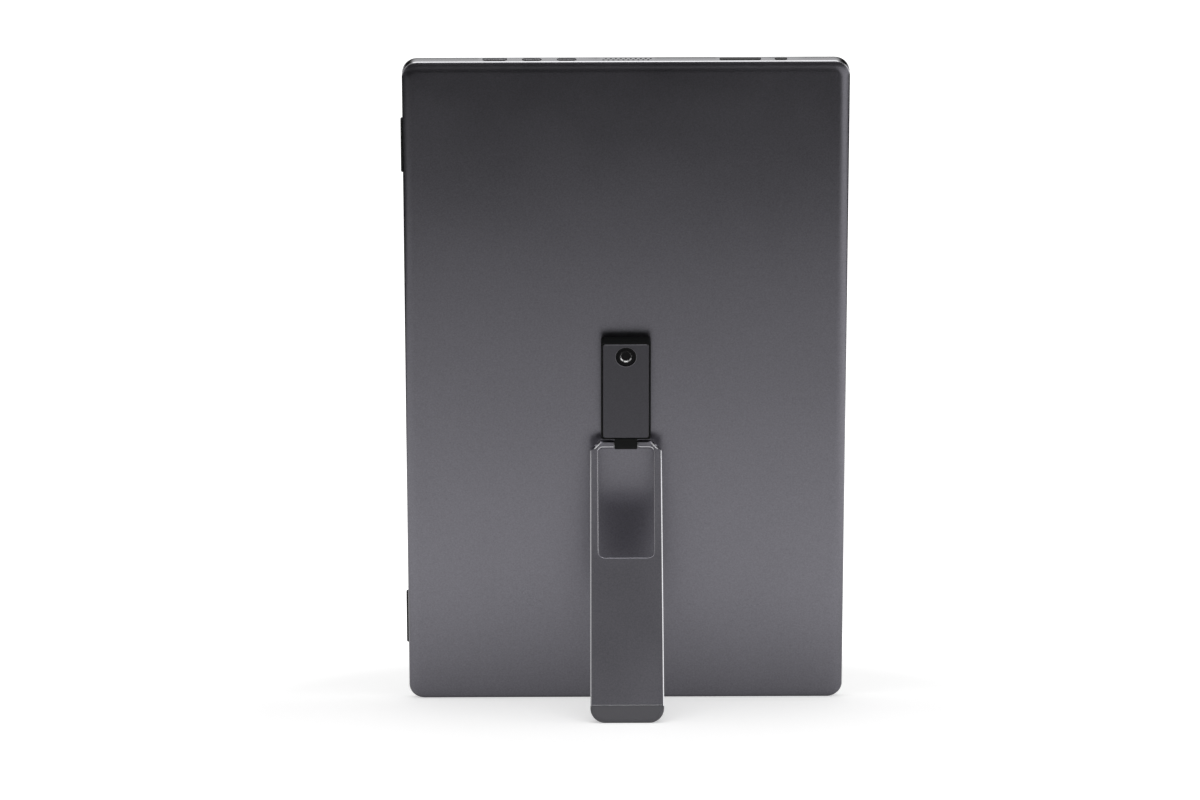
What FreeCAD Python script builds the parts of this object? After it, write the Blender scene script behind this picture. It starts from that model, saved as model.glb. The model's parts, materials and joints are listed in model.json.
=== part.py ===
"""Portable monitor that stands in portrait on a swivelling kickstand.

Every piece is drawn in the panel's own frame, in millimetres: X runs across the back to the right, Z runs up
the panel from its lower edge, and Y runs from the back surface (Y = 0) towards the screen. The stand lies on
the side of negative Y. At the end the whole assembly is leaned until the lower edge and the leg's foot stand
on the ground, and the origin is moved to the middle of its footprint.
"""
import FreeCAD, Part
import math
import os

V = FreeCAD.Vector
X_AXIS = V(1, 0, 0)
Y_AXIS = V(0, 1, 0)
Z_AXIS = V(0, 0, 1)

# Panel housing
PANEL_WIDTH = 225.0
PANEL_HEIGHT = 356.0
SHELL_DEPTH = 7.5
SHELL_CORNER = 8.0
EDGE_CURVE_WIDTH = 5.0
EDGE_CURVE_DEPTH = 1.4
EDGE_BEVEL = 0.6
SIDE_WALL = 2.0
BACK_WALL = 1.5

# Front frame and glass
FRAME_PROUD = 2.0
FRAME_INSET = 1.0
FRAME_BORDER = 1.6
FRAME_LIP_DEPTH = 1.1
FRAME_LIP_WIDTH = 2.1
FRAME_FIT = 0.1
GLASS_FIT = 0.1
GLASS_THICKNESS = 0.7
GLASS_SINK = 0.1
GLASS_CORNER = 3.0

# Display stack, from the glass inwards
LCD_THICKNESS = 1.0
DIFFUSER_THICKNESS = 0.4
LIGHT_GUIDE_THICKNESS = 0.6
REFLECTOR_THICKNESS = 0.2
TRAY_THICKNESS = 0.4
TRAY_MARGIN = 0.6
STACK_MARGIN = 0.2
LED_BAR_WIDTH = 1.4

# Sockets in the upper edge
PORT_DEPTH = 4.4
PORT_FIT = 0.15
SOCKET_SINK = 0.4
SOCKET_WALL = 0.3
SOCKET_LENGTH = 7.3
SOCKET_BACK = 0.8
VIDEO_PITCH = 18.6
VIDEO_WIDTH = 11.9
VIDEO_HEIGHT = 3.2
VIDEO_BEVEL = 1.1
VIDEO_TONGUE_WIDTH = 8.0
DATA_PITCH = 17.5
DATA_INSET = 13.8
DATA_WIDTH = 9.6
DATA_HEIGHT = 3.2
DATA_TONGUE_WIDTH = 6.7
TONGUE_THICKNESS = 0.7
TONGUE_SHORT = 1.2

# Speaker behind the grille
GRILLE_X = 0.6
GRILLE_HOLES = 10
GRILLE_PITCH = 2.5
GRILLE_HOLE_RADIUS = 0.6
GRILLE_ROW_GAP = 1.6
MESH_THICKNESS = 0.3
MESH_MARGIN = 1.0
SPEAKER_WIDTH = 29.0
SPEAKER_LENGTH = 14.0
SPEAKER_HEIGHT = 4.3
SPEAKER_CORNER = 1.5
SPEAKER_PORT_HEIGHT = 2.2

# Keys in the upper edge
KEY_HEIGHT = 3.0
KEY_CORNER = 0.9
KEY_FIT = 0.3
KEY_PROUD = 0.4
KEY_FLANGE_ROOM = 1.0
KEY_FLANGE_THICKNESS = 1.0
KEY_FLANGE_REACH = 1.1
ROCKER_SIDE_GAP = 55.1
ROCKER_WIDTH = 20.8
ROCKER_PIN_RADIUS = 0.8
ROCKER_PIN_FIT = 0.05
ROCKER_BOSS_RADIUS = 1.6
ROCKER_PIN_DROP = 0.9
ROCKER_SWITCH_REACH = 8.5
POWER_PITCH = 20.4
POWER_WIDTH = 6.2
POWER_STEM_WIDTH = 2.4
POWER_STEM_LENGTH = 1.7
POWER_TRAVEL = 0.5
SWITCH_ROOM = 0.05
ROCKER_TILT_DEG = 2.0
SWITCH_WIDTH = 4.0
SWITCH_LENGTH = 4.8
SWITCH_HEIGHT = 1.8
SWITCH_OVERHANG = 2.2
PLUNGER_WIDTH = 1.6
PLUNGER_LENGTH = 0.65
PLUNGER_RIM = 0.3
BRACKET_THICKNESS = 1.2
BRACKET_END = 6.0
BRACKET_LENGTH = 10.8
BRACKET_GAP = 0.8
BUTTON_BOARD_THICKNESS = 0.8
BUTTON_BOARD_LENGTH = 5.5

# Main board
BOARD_SIDE_GAP = 8.5
BOARD_SPEAKER_GAP = 2.0
BOARD_LENGTH = 44.0
BOARD_EDGE_GAP = 4.6
BOARD_THICKNESS = 1.0
BOARD_SCREW_INSET = 4.0
NOTCH_FIT = 0.1
SHIELD_WIDTH = 40.0
SHIELD_LENGTH = 22.0
SHIELD_HEIGHT = 1.5
SHIELD_WALL = 0.2
BOSS_RADIUS = 2.2
SCREW_RADIUS = 0.8
SCREW_FIT = 0.02
SCREW_HOLE_CLEAR = 0.2
SCREW_DEPTH = 1.4
SCREW_HEAD_RADIUS = 1.7
SCREW_HEAD_HEIGHT = 0.8
FLEX_WIDTH = 9.0
FLEX_THICKNESS = 0.2
FLEX_OVERLAP = 6.0
FLEX_SPAN = 97.4
DRIVER_BOARD_WIDTH = 10.0
DRIVER_BOARD_LENGTH = 140.0
DRIVER_BOARD_THICKNESS = 0.8
DRIVER_BOARD_INSET = 10.0

# Rubber feet on the long edge
FOOT_END_GAP = 46.0
FOOT_DEPTH = 4.7
FOOT_LENGTH = 29.5
FOOT_WIDTH = 4.4
FOOT_PROUD = 1.0
FOOT_SINK = 0.5

# Swivel near the middle of the back
SWIVEL_RISE = 1.1
HUB_RADIUS = 8.0
HUB_FIT = 0.05
HUB_SOCKET_DEPTH = 3.0
HUB_SOCKET_FIT = 0.01
SWIVEL_PLATE_SIZE = 46.0
SWIVEL_PLATE_THICKNESS = 0.8
SWIVEL_PLATE_CORNER = 4.0
RIVET_RADIUS = 1.2
RIVET_FIT = 0.1
RIVET_INSET = 5.0
RIVET_HEIGHT = 1.3
WASHER_GAP = 0.05
WASHER_THICKNESS = 0.5
WASHER_BORE_GAP = 0.4
WASHER_BAND = 3.6
RETAINER_REACH = 5.0
RETAINER_THICKNESS = 1.0
RETAINER_SCREWS = 3
RETAINER_SCREW_CIRCLE = 5.0
RETAINER_SCREW_RADIUS = 0.9
RETAINER_SCREW_LENGTH = 9.2
RETAINER_HEAD_RADIUS = 1.6
RETAINER_HEAD_HEIGHT = 0.9

# Stand block
BLOCK_WIDTH = 25.4
BLOCK_LENGTH = 53.4
BLOCK_HEIGHT = 8.0
BLOCK_LIFT = 0.3
BLOCK_CORNER = 1.5
FACE_MARGIN = 0.75
FACE_THICKNESS = 1.0
FACE_FIT = 0.05
FACE_CHAMFER = 0.3
BUSH_UP = 18.9
BUSH_FLANGE_RADIUS = 5.3
BUSH_BODY_RADIUS = 4.4
BUSH_BORE_RADIUS = 3.175
BUSH_BORE_DEPTH = 6.0
BUSH_FLOOR = 0.6
BUSH_FIT = 0.02
BUSH_MOUTH = 0.5

# Leg hinge
HINGE_DROP = 4.1
HINGE_HEIGHT = 5.6
KNUCKLE_WIDTH = 11.6
KNUCKLE_RADIUS = 2.4
HINGE_PIN_RADIUS = 1.2
HINGE_PIN_SINK = 5.25
HINGE_PIN_FIT = 0.05
HINGE_PIN_PRESS = 0.01
HINGE_WASHER_THICKNESS = 0.5
HINGE_WASHER_RADIUS = 1.9
HINGE_SIDE_GAP = 0.05

# Leg
LEG_OPEN_DEG = 34.85
LEG_REACH = 144.0
LEG_THICKNESS = 4.0
LEG_TOP_WIDTH = 36.5
LEG_FOOT_WIDTH = 37.5
LEG_TOP_CHAMFER = 4.5
LEG_EDGE_CHAMFER = 0.5
WINDOW_SIDE_GAP = 1.6
WINDOW_END_GAP = 1.5
WINDOW_CORNER = 3.5
PAD_LENGTH = 8.3
PAD_CORNER = 7.4
PAD_ROUND = 1.8
TONGUE_LENGTH = 4.0
TONGUE_SIDE = 5.0
LEG_TONGUE_THICKNESS = 1.6
TONGUE_FIT = 0.02

# Places that follow from the sizes above
PANEL_MID = PANEL_HEIGHT / 2
SWIVEL_Z = PANEL_MID + SWIVEL_RISE
SIDE_X = PANEL_WIDTH / 2
BEVEL_END = EDGE_CURVE_DEPTH + EDGE_BEVEL
INNER_TOP = PANEL_HEIGHT - SIDE_WALL
FRONT_Y = SHELL_DEPTH + FRAME_PROUD
GLASS_BACK = FRONT_Y - GLASS_SINK - GLASS_THICKNESS
LCD_BACK = GLASS_BACK - LCD_THICKNESS
DIFFUSER_BACK = LCD_BACK - DIFFUSER_THICKNESS
LIGHT_GUIDE_BACK = DIFFUSER_BACK - LIGHT_GUIDE_THICKNESS
REFLECTOR_BACK = LIGHT_GUIDE_BACK - REFLECTOR_THICKNESS
TRAY_BACK = REFLECTOR_BACK - TRAY_THICKNESS
LIP_OUTER = SIDE_WALL + FRAME_FIT
LIP_INNER = LIP_OUTER + FRAME_LIP_WIDTH
TRAY_INSET = LIP_INNER + TRAY_MARGIN
STACK_INSET = TRAY_INSET + TRAY_THICKNESS + STACK_MARGIN
BOARD_LEFT = -SIDE_X + BOARD_SIDE_GAP
BOARD_RIGHT = GRILLE_X - SPEAKER_WIDTH / 2 - BOARD_SPEAKER_GAP
DATA_B_X = BOARD_RIGHT - DATA_INSET
DATA_A_X = DATA_B_X - DATA_PITCH
VIDEO_X = DATA_A_X - VIDEO_PITCH
ROCKER_X = SIDE_X - ROCKER_SIDE_GAP
POWER_X = ROCKER_X + POWER_PITCH
BOARD_TOP = PANEL_HEIGHT - BOARD_EDGE_GAP
BOARD_LOW = BOARD_TOP - BOARD_LENGTH
BOARD_BACK = PORT_DEPTH - BOARD_THICKNESS / 2
BOARD_FRONT = PORT_DEPTH + BOARD_THICKNESS / 2
DRIVER_BOARD_LEFT = BOARD_LEFT + DRIVER_BOARD_INSET
DRIVER_BOARD_TOP = BOARD_LOW - FLEX_SPAN
DRIVER_BOARD_LOW = DRIVER_BOARD_TOP - DRIVER_BOARD_LENGTH
SOCKET_MOUTH = PANEL_HEIGHT - SOCKET_SINK
SOCKET_END = SOCKET_MOUTH - SOCKET_LENGTH
KEY_TOP = PANEL_HEIGHT + KEY_PROUD
KEY_FLANGE_TOP = INNER_TOP - KEY_FLANGE_ROOM
KEY_FLANGE_LOW = KEY_FLANGE_TOP - KEY_FLANGE_THICKNESS
ROCKER_PIN_Z = KEY_FLANGE_LOW - ROCKER_PIN_DROP
KEY_BACK = PORT_DEPTH - KEY_HEIGHT / 2 + KEY_FIT
KEY_FRONT = PORT_DEPTH + KEY_HEIGHT / 2 - KEY_FIT
BRACKET_FRONT = BACK_WALL + BRACKET_THICKNESS
BRACKET_LEFT = ROCKER_X - ROCKER_WIDTH / 2 - BRACKET_END
BRACKET_RIGHT = POWER_X + POWER_WIDTH / 2 + BRACKET_END
BRACKET_TOP = INNER_TOP - BRACKET_GAP
BRACKET_LOW = BRACKET_TOP - BRACKET_LENGTH
BUTTON_BOARD_FRONT = BRACKET_FRONT + BUTTON_BOARD_THICKNESS
ROCKER_DIP = ROCKER_SWITCH_REACH * math.sin(math.radians(ROCKER_TILT_DEG))
ROCKER_PLUNGER_TOP = KEY_FLANGE_LOW - ROCKER_DIP - SWITCH_ROOM
POWER_STEM_LOW = KEY_FLANGE_LOW - POWER_STEM_LENGTH
POWER_PLUNGER_TOP = POWER_STEM_LOW - POWER_TRAVEL - SWITCH_ROOM
BUTTON_BOARD_TOP = ROCKER_PLUNGER_TOP - PLUNGER_LENGTH - SWITCH_OVERHANG
PLATE_FRONT = BACK_WALL + SWIVEL_PLATE_THICKNESS
WASHER_BACK = PLATE_FRONT + WASHER_GAP
RETAINER_BACK = WASHER_BACK + WASHER_THICKNESS
RETAINER_FRONT = RETAINER_BACK + RETAINER_THICKNESS
HUB_BOTTOM = -BLOCK_LIFT - HUB_SOCKET_DEPTH
BLOCK_LOW = SWIVEL_Z - BLOCK_LENGTH / 2
HINGE_Z = BLOCK_LOW - HINGE_DROP
EAR_RADIUS = LEG_THICKNESS / 2
EAR_INNER = KNUCKLE_WIDTH / 2 + HINGE_WASHER_THICKNESS + 2 * HINGE_SIDE_GAP
WINDOW_HALF = BLOCK_WIDTH / 2 + WINDOW_SIDE_GAP
WINDOW_FAR = HINGE_DROP + BLOCK_LENGTH + WINDOW_END_GAP
LEG_METAL_END = LEG_REACH - PAD_LENGTH
SAME_PLACE = 1e-4


def rounded_outline(centre, width, height, corner, across=X_AXIS, along=Z_AXIS):
    """Closed outline with four rounded corners, from the right side's upper end round to the left."""
    half_w = width / 2
    half_h = height / 2
    diagonal = corner * (1 - math.sqrt(0.5))

    def spot(u, v):
        return centre + across * u + along * v

    edges = []
    signs = ((1, 1), (-1, 1), (-1, -1), (1, -1))
    for index, (sx, sz) in enumerate(signs):
        side = spot(sx * half_w, sz * (half_h - corner))
        end = spot(sx * (half_w - corner), sz * half_h)
        middle = spot(sx * (half_w - diagonal), sz * (half_h - diagonal))
        first, last = (side, end) if index % 2 == 0 else (end, side)
        edges.append(Part.Arc(first, middle, last).toShape())
        next_sx, next_sz = signs[(index + 1) % 4]
        if index % 2 == 0:
            target = spot(next_sx * (half_w - corner), next_sz * half_h)
        else:
            target = spot(next_sx * half_w, next_sz * (half_h - corner))
        if (target - last).Length > SAME_PLACE:
            edges.append(Part.LineSegment(last, target).toShape())
    return Part.Wire(edges)


def rounded_plate(centre, width, height, corner, thickness, across=X_AXIS, along=Z_AXIS, normal=Y_AXIS):
    """Plate with four rounded corners, drawn round its centre and thickened along the normal."""
    outline = rounded_outline(centre, width, height, corner, across, along)
    return Part.Face(outline).extrude(normal * thickness)


def panel_plate(inset, corner, back, front):
    """Rounded plate that follows the panel's outline, drawn in by an inset."""
    centre = V(0, back, PANEL_MID)
    return rounded_plate(centre, PANEL_WIDTH - 2 * inset, PANEL_HEIGHT - 2 * inset, corner, front - back)


def slab(left, right, back, front, low, high):
    """Box given by its six sides."""
    return Part.makeBox(right - left, front - back, high - low, V(left, back, low))


def rod(radius, start, end):
    """Round bar from one point to another."""
    return Part.makeCylinder(radius, (end - start).Length, start, end - start)


def edges_on_plane(solid, axis, place):
    """Edges of a solid that lie whole on the plane where an axis has one value."""
    found = []
    for edge in solid.Edges:
        box = edge.BoundBox
        low, high = {"X": (box.XMin, box.XMax), "Y": (box.YMin, box.YMax), "Z": (box.ZMin, box.ZMax)}[axis]
        if abs(low - place) < SAME_PLACE and abs(high - place) < SAME_PLACE:
            found.append(edge)
    return found


def board_screw_places():
    """Four screws near the corners of the main board."""
    for x in (BOARD_LEFT + BOARD_SCREW_INSET, BOARD_RIGHT - BOARD_SCREW_INSET):
        for z in (BOARD_LOW + BOARD_SCREW_INSET, BOARD_TOP - 2 * BOARD_SCREW_INSET):
            yield x, z


def bracket_screw_places():
    """One screw at each end of the button bracket."""
    for x in (BRACKET_LEFT + BRACKET_END / 2, BRACKET_RIGHT - BRACKET_END / 2):
        yield x, BRACKET_LOW + BRACKET_END / 2


def rivet_places():
    """Four rivets near the corners of the swivel plate."""
    reach = SWIVEL_PLATE_SIZE / 2 - RIVET_INSET
    for sx in (-1, 1):
        for sz in (-1, 1):
            yield sx * reach, SWIVEL_Z + sz * reach


def retainer_screw_places():
    """Screws spaced evenly round the hub's centre."""
    for index in range(RETAINER_SCREWS):
        turn = 2 * math.pi * index / RETAINER_SCREWS + math.pi / 2
        yield RETAINER_SCREW_CIRCLE * math.cos(turn), SWIVEL_Z + RETAINER_SCREW_CIRCLE * math.sin(turn)


def video_outline(grow, low, high):
    """Socket outline with two bevelled corners on the side of the back, between two heights."""
    half_w = VIDEO_WIDTH / 2 + grow
    half_h = VIDEO_HEIGHT / 2 + grow
    corners = [
        (half_w, half_h),
        (-half_w, half_h),
        (-half_w, -half_h + VIDEO_BEVEL),
        (-half_w + VIDEO_BEVEL, -half_h),
        (half_w - VIDEO_BEVEL, -half_h),
        (half_w, -half_h + VIDEO_BEVEL),
    ]
    points = [V(VIDEO_X + x, PORT_DEPTH + y, low) for x, y in corners]
    points.append(points[0])
    return Part.Face(Part.makePolygon(points)).extrude(Z_AXIS * (high - low))


def data_outline(x, grow, low, high):
    """Pill-shaped socket outline between two heights."""
    centre = V(x, PORT_DEPTH, low)
    height = DATA_HEIGHT + 2 * grow
    width = DATA_WIDTH + 2 * grow
    return rounded_plate(centre, width, height, height / 2, high - low, X_AXIS, Y_AXIS, Z_AXIS)


def key_slot(x, width):
    """Slot through the upper wall for one key."""
    low = INNER_TOP - SIDE_WALL
    high = PANEL_HEIGHT + SIDE_WALL
    centre = V(x, PORT_DEPTH, low)
    return rounded_plate(centre, width, KEY_HEIGHT, KEY_CORNER, high - low, X_AXIS, Y_AXIS, Z_AXIS)


def grille_holes():
    """Two staggered rows of round holes through the upper wall."""
    holes = []
    for index in range(GRILLE_HOLES):
        left = GRILLE_X + (index - (GRILLE_HOLES - 1) / 2) * GRILLE_PITCH
        for shift, row in ((-GRILLE_PITCH / 4, -1), (GRILLE_PITCH / 4, 1)):
            y = PORT_DEPTH + row * GRILLE_ROW_GAP / 2
            start = V(left + shift, y, INNER_TOP - SIDE_WALL)
            holes.append(rod(GRILLE_HOLE_RADIUS, start, start + Z_AXIS * (3 * SIDE_WALL)))
    return holes


def foot_shape(z, outer, sink, grow):
    """Pill of one rubber foot on the left edge, from its seat out to its sole."""
    centre = V(-SIDE_X + sink, FOOT_DEPTH, z)
    width = FOOT_WIDTH + 2 * grow
    length = FOOT_LENGTH + 2 * grow
    return rounded_plate(centre, width, length, width / 2, sink + outer, Y_AXIS, Z_AXIS, V(-1, 0, 0))


def foot_heights():
    """Heights of the lower and the upper foot."""
    return FOOT_END_GAP, PANEL_HEIGHT - FOOT_END_GAP


def back_edge_waste():
    """Ring that is cut off round the back, which leaves a narrow bevel and a curve that runs out on the back.

    The curve is an arc that meets the back flush; its radius follows from its width and depth.
    """
    radius = (EDGE_CURVE_WIDTH ** 2 + EDGE_CURVE_DEPTH ** 2) / (2 * EDGE_CURVE_DEPTH)
    half_turn = math.asin(EDGE_CURVE_WIDTH / radius) / 2
    curve_end = EDGE_BEVEL + EDGE_CURVE_WIDTH
    height = PANEL_HEIGHT - SHELL_CORNER

    def spot(inset, depth):
        return V(SIDE_X - inset, depth, height)

    middle = spot(curve_end - radius * math.sin(half_turn), radius - radius * math.cos(half_turn))
    arc = Part.Arc(spot(EDGE_BEVEL, EDGE_CURVE_DEPTH), middle, spot(curve_end, 0)).toShape()
    outside = [spot(curve_end, 0), spot(curve_end, -BACK_WALL), spot(-SIDE_WALL, -BACK_WALL)]
    outside += [spot(-SIDE_WALL, BEVEL_END), spot(0, BEVEL_END), spot(EDGE_BEVEL, EDGE_CURVE_DEPTH)]
    profile = Part.Wire([arc] + Part.makePolygon(outside).Edges)
    outline = rounded_outline(V(0, 0, PANEL_MID), PANEL_WIDTH, PANEL_HEIGHT, SHELL_CORNER)
    return outline.makePipeShell([profile], True, False)


def shell_bosses():
    """Screw bosses and rivets that stand on the back wall."""
    bosses = [rod(BOSS_RADIUS, V(x, BACK_WALL, z), V(x, BOARD_BACK, z)) for x, z in board_screw_places()]
    for x, z in bracket_screw_places():
        bosses.append(rod(BOSS_RADIUS, V(x, BACK_WALL, z), V(x, BRACKET_FRONT, z)))
    for x, z in rivet_places():
        bosses.append(rod(RIVET_RADIUS, V(x, BACK_WALL, z), V(x, BACK_WALL + RIVET_HEIGHT, z)))
    return bosses


def rear_shell():
    """Aluminium tray with bosses, slots, grille holes and the swivel's hole."""
    outer = panel_plate(0, SHELL_CORNER, 0, SHELL_DEPTH).cut(back_edge_waste())
    shell = outer.cut(panel_plate(SIDE_WALL, SHELL_CORNER - SIDE_WALL, BACK_WALL, 2 * SHELL_DEPTH))
    shell = shell.fuse(shell_bosses())
    hole_radius = SCREW_RADIUS + SCREW_FIT
    cuts = []
    for x, z in board_screw_places():
        cuts.append(rod(hole_radius, V(x, BOARD_BACK - SCREW_DEPTH, z), V(x, BOARD_FRONT, z)))
    for x, z in bracket_screw_places():
        cuts.append(rod(hole_radius, V(x, BRACKET_FRONT - SCREW_DEPTH, z), V(x, SHELL_DEPTH, z)))
    wall_low = INNER_TOP - SIDE_WALL
    wall_high = PANEL_HEIGHT + SIDE_WALL
    cuts.append(video_outline(PORT_FIT, wall_low, wall_high))
    cuts += [data_outline(x, PORT_FIT, wall_low, wall_high) for x in (DATA_A_X, DATA_B_X)]
    cuts += [key_slot(ROCKER_X, ROCKER_WIDTH), key_slot(POWER_X, POWER_WIDTH)]
    cuts += grille_holes()
    cuts += [foot_shape(z, FOOT_PROUD, FOOT_SINK, FRAME_FIT) for z in foot_heights()]
    cuts.append(rod(HUB_RADIUS + HUB_FIT, V(0, -BACK_WALL, SWIVEL_Z), V(0, 2 * BACK_WALL, SWIVEL_Z)))
    return shell.cut(cuts)


def front_frame():
    """Black frame: a flange on the shell's rim and a lip inside its walls that carries the glass."""
    flange = panel_plate(FRAME_INSET, SHELL_CORNER - FRAME_INSET, SHELL_DEPTH, FRONT_Y)
    lip = panel_plate(LIP_OUTER, SHELL_CORNER - LIP_OUTER, SHELL_DEPTH - FRAME_LIP_DEPTH, GLASS_BACK)
    well = panel_plate(FRAME_INSET + FRAME_BORDER, GLASS_CORNER, GLASS_BACK, 2 * FRONT_Y)
    opening = panel_plate(LIP_INNER, GLASS_CORNER, 0, 2 * FRONT_Y)
    return flange.fuse(lip).cut(well).cut(opening).removeSplitter()


def cover_glass():
    """Front glass, seated on the frame's lip."""
    inset = FRAME_INSET + FRAME_BORDER + GLASS_FIT
    return panel_plate(inset, GLASS_CORNER, GLASS_BACK, GLASS_BACK + GLASS_THICKNESS)


def panel_tray():
    """Thin metal tray that holds the backlight and the display cell."""
    tray = panel_plate(TRAY_INSET, GLASS_CORNER, TRAY_BACK, GLASS_BACK)
    inside = panel_plate(TRAY_INSET + TRAY_THICKNESS, GLASS_CORNER - TRAY_THICKNESS, REFLECTOR_BACK, FRONT_Y)
    return tray.cut(inside)


def stack_layer(back, front):
    """One sheet of the display stack inside the tray."""
    return panel_plate(STACK_INSET, GLASS_CORNER - TRAY_THICKNESS - STACK_MARGIN, back, front)


def led_bar():
    """Strip of lamps along the long edge that carries the feet."""
    left = -SIDE_X + STACK_INSET
    low = STACK_INSET + GLASS_CORNER
    return slab(left, left + LED_BAR_WIDTH, LIGHT_GUIDE_BACK, DIFFUSER_BACK, low, PANEL_HEIGHT - low)


def light_guide():
    """Clear plate beside the strip of lamps."""
    plate = stack_layer(LIGHT_GUIDE_BACK, DIFFUSER_BACK)
    edge = -SIDE_X + STACK_INSET + LED_BAR_WIDTH + STACK_MARGIN
    return plate.cut(slab(-PANEL_WIDTH, edge, 0, FRONT_Y, 0, PANEL_HEIGHT))


def panel_driver_board():
    """Narrow board on the back of the tray that drives the display."""
    left = DRIVER_BOARD_LEFT
    back = TRAY_BACK - DRIVER_BOARD_THICKNESS
    return slab(left, left + DRIVER_BOARD_WIDTH, back, TRAY_BACK, DRIVER_BOARD_LOW, DRIVER_BOARD_TOP)


def display_flex():
    """Flat cable from the driver board's back to the main board's front."""
    low_y = TRAY_BACK - DRIVER_BOARD_THICKNESS
    low_z = DRIVER_BOARD_TOP
    high_z = BOARD_LOW + FLEX_OVERLAP / 2
    left = DRIVER_BOARD_LEFT + (DRIVER_BOARD_WIDTH - FLEX_WIDTH) / 2
    board_side = [(BOARD_FRONT, high_z), (BOARD_FRONT, BOARD_LOW)]
    driver_side = [(low_y - FLEX_THICKNESS, low_z), (low_y - FLEX_THICKNESS, low_z - FLEX_OVERLAP)]
    back = board_side + driver_side
    front = [(low_y, low_z - FLEX_OVERLAP), (low_y, low_z)]
    front += [(BOARD_FRONT + FLEX_THICKNESS, BOARD_LOW), (BOARD_FRONT + FLEX_THICKNESS, high_z)]
    points = [V(left, y, z) for y, z in back + front]
    points.append(points[0])
    return Part.Face(Part.makePolygon(points)).extrude(X_AXIS * FLEX_WIDTH)


def main_board():
    """Circuit board with a notch for each socket and a hole for each screw."""
    board = slab(BOARD_LEFT, BOARD_RIGHT, BOARD_BACK, BOARD_FRONT, BOARD_LOW, BOARD_TOP)
    cuts = [slab(VIDEO_X - VIDEO_WIDTH / 2 - NOTCH_FIT, VIDEO_X + VIDEO_WIDTH / 2 + NOTCH_FIT,
                 0, SHELL_DEPTH, SOCKET_END - NOTCH_FIT, PANEL_HEIGHT)]
    for x in (DATA_A_X, DATA_B_X):
        half = DATA_WIDTH / 2 + NOTCH_FIT
        cuts.append(slab(x - half, x + half, 0, SHELL_DEPTH, SOCKET_END - NOTCH_FIT, PANEL_HEIGHT))
    hole = SCREW_RADIUS + SCREW_HOLE_CLEAR
    cuts += [rod(hole, V(x, 0, z), V(x, SHELL_DEPTH, z)) for x, z in board_screw_places()]
    return board.cut(cuts)


def shield_can():
    """Thin metal can on the board's back, open towards the board."""
    middle_x = (BOARD_LEFT + BOARD_RIGHT) / 2
    middle_z = BOARD_LOW + BOARD_LENGTH / 2 - BOARD_SCREW_INSET
    back = BOARD_BACK - SHIELD_HEIGHT
    centre = V(middle_x, back, middle_z)
    can = rounded_plate(centre, SHIELD_WIDTH, SHIELD_LENGTH, BOSS_RADIUS, SHIELD_HEIGHT)
    inside = rounded_plate(centre + Y_AXIS * SHIELD_WALL, SHIELD_WIDTH - 2 * SHIELD_WALL,
                           SHIELD_LENGTH - 2 * SHIELD_WALL, BOSS_RADIUS - SHIELD_WALL, SHIELD_HEIGHT)
    return can.cut(inside)


def socket_tongue(x, width):
    """Contact tongue in the middle of a socket."""
    half_t = TONGUE_THICKNESS / 2
    return slab(x - width / 2, x + width / 2, PORT_DEPTH - half_t, PORT_DEPTH + half_t,
                SOCKET_END, SOCKET_MOUTH - TONGUE_SHORT)


def video_socket():
    """Metal socket with bevelled corners and its contact tongue."""
    shell = video_outline(0, SOCKET_END, SOCKET_MOUTH)
    shell = shell.cut(video_outline(-SOCKET_WALL, SOCKET_END + SOCKET_BACK, PANEL_HEIGHT))
    return shell.fuse(socket_tongue(VIDEO_X, VIDEO_TONGUE_WIDTH)).removeSplitter()


def data_socket(x):
    """Pill-shaped metal socket and its contact tongue."""
    shell = data_outline(x, 0, SOCKET_END, SOCKET_MOUTH)
    shell = shell.cut(data_outline(x, -SOCKET_WALL, SOCKET_END + SOCKET_BACK, PANEL_HEIGHT))
    return shell.fuse(socket_tongue(x, DATA_TONGUE_WIDTH)).removeSplitter()


def screw(radius, head_radius, head_height, x, z, tip, seat):
    """Pan-head screw along Y, from its tip to the seat under its head."""
    shank = rod(radius, V(x, tip, z), V(x, seat, z))
    return shank.fuse(rod(head_radius, V(x, seat, z), V(x, seat + head_height, z))).removeSplitter()


def housing_screws():
    """Screws of the main board and of the button bracket."""
    size = (SCREW_RADIUS, SCREW_HEAD_RADIUS, SCREW_HEAD_HEIGHT)
    screws = [screw(*size, x, z, BOARD_BACK - SCREW_DEPTH, BOARD_FRONT) for x, z in board_screw_places()]
    head = (SCREW_RADIUS, BOSS_RADIUS + 2 * SCREW_HOLE_CLEAR, SCREW_HEAD_HEIGHT)
    for x, z in bracket_screw_places():
        screws.append(screw(*head, x, z, BRACKET_FRONT - SCREW_DEPTH, BRACKET_FRONT))
    return Part.makeCompound(screws)


def speaker_mesh():
    """Dust mesh glued behind the grille holes."""
    half_w = GRILLE_HOLES * GRILLE_PITCH / 2 + MESH_MARGIN
    half_h = GRILLE_ROW_GAP / 2 + GRILLE_HOLE_RADIUS + MESH_MARGIN / 2
    return slab(GRILLE_X - half_w, GRILLE_X + half_w, PORT_DEPTH - half_h, PORT_DEPTH + half_h,
                INNER_TOP - MESH_THICKNESS, INNER_TOP)


def speaker_module():
    """Flat speaker box on the back wall, with its sound slot facing the mesh."""
    high = INNER_TOP - MESH_THICKNESS
    centre = V(GRILLE_X, BACK_WALL, high - SPEAKER_LENGTH / 2)
    box = rounded_plate(centre, SPEAKER_WIDTH, SPEAKER_LENGTH, SPEAKER_CORNER, SPEAKER_HEIGHT)
    half_w = GRILLE_HOLES * GRILLE_PITCH / 2
    half_h = SPEAKER_PORT_HEIGHT / 2
    slot = slab(GRILLE_X - half_w, GRILLE_X + half_w, PORT_DEPTH - half_h, PORT_DEPTH + half_h,
                high - SPEAKER_LENGTH / 2, PANEL_HEIGHT)
    return box.cut(slot)


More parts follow.
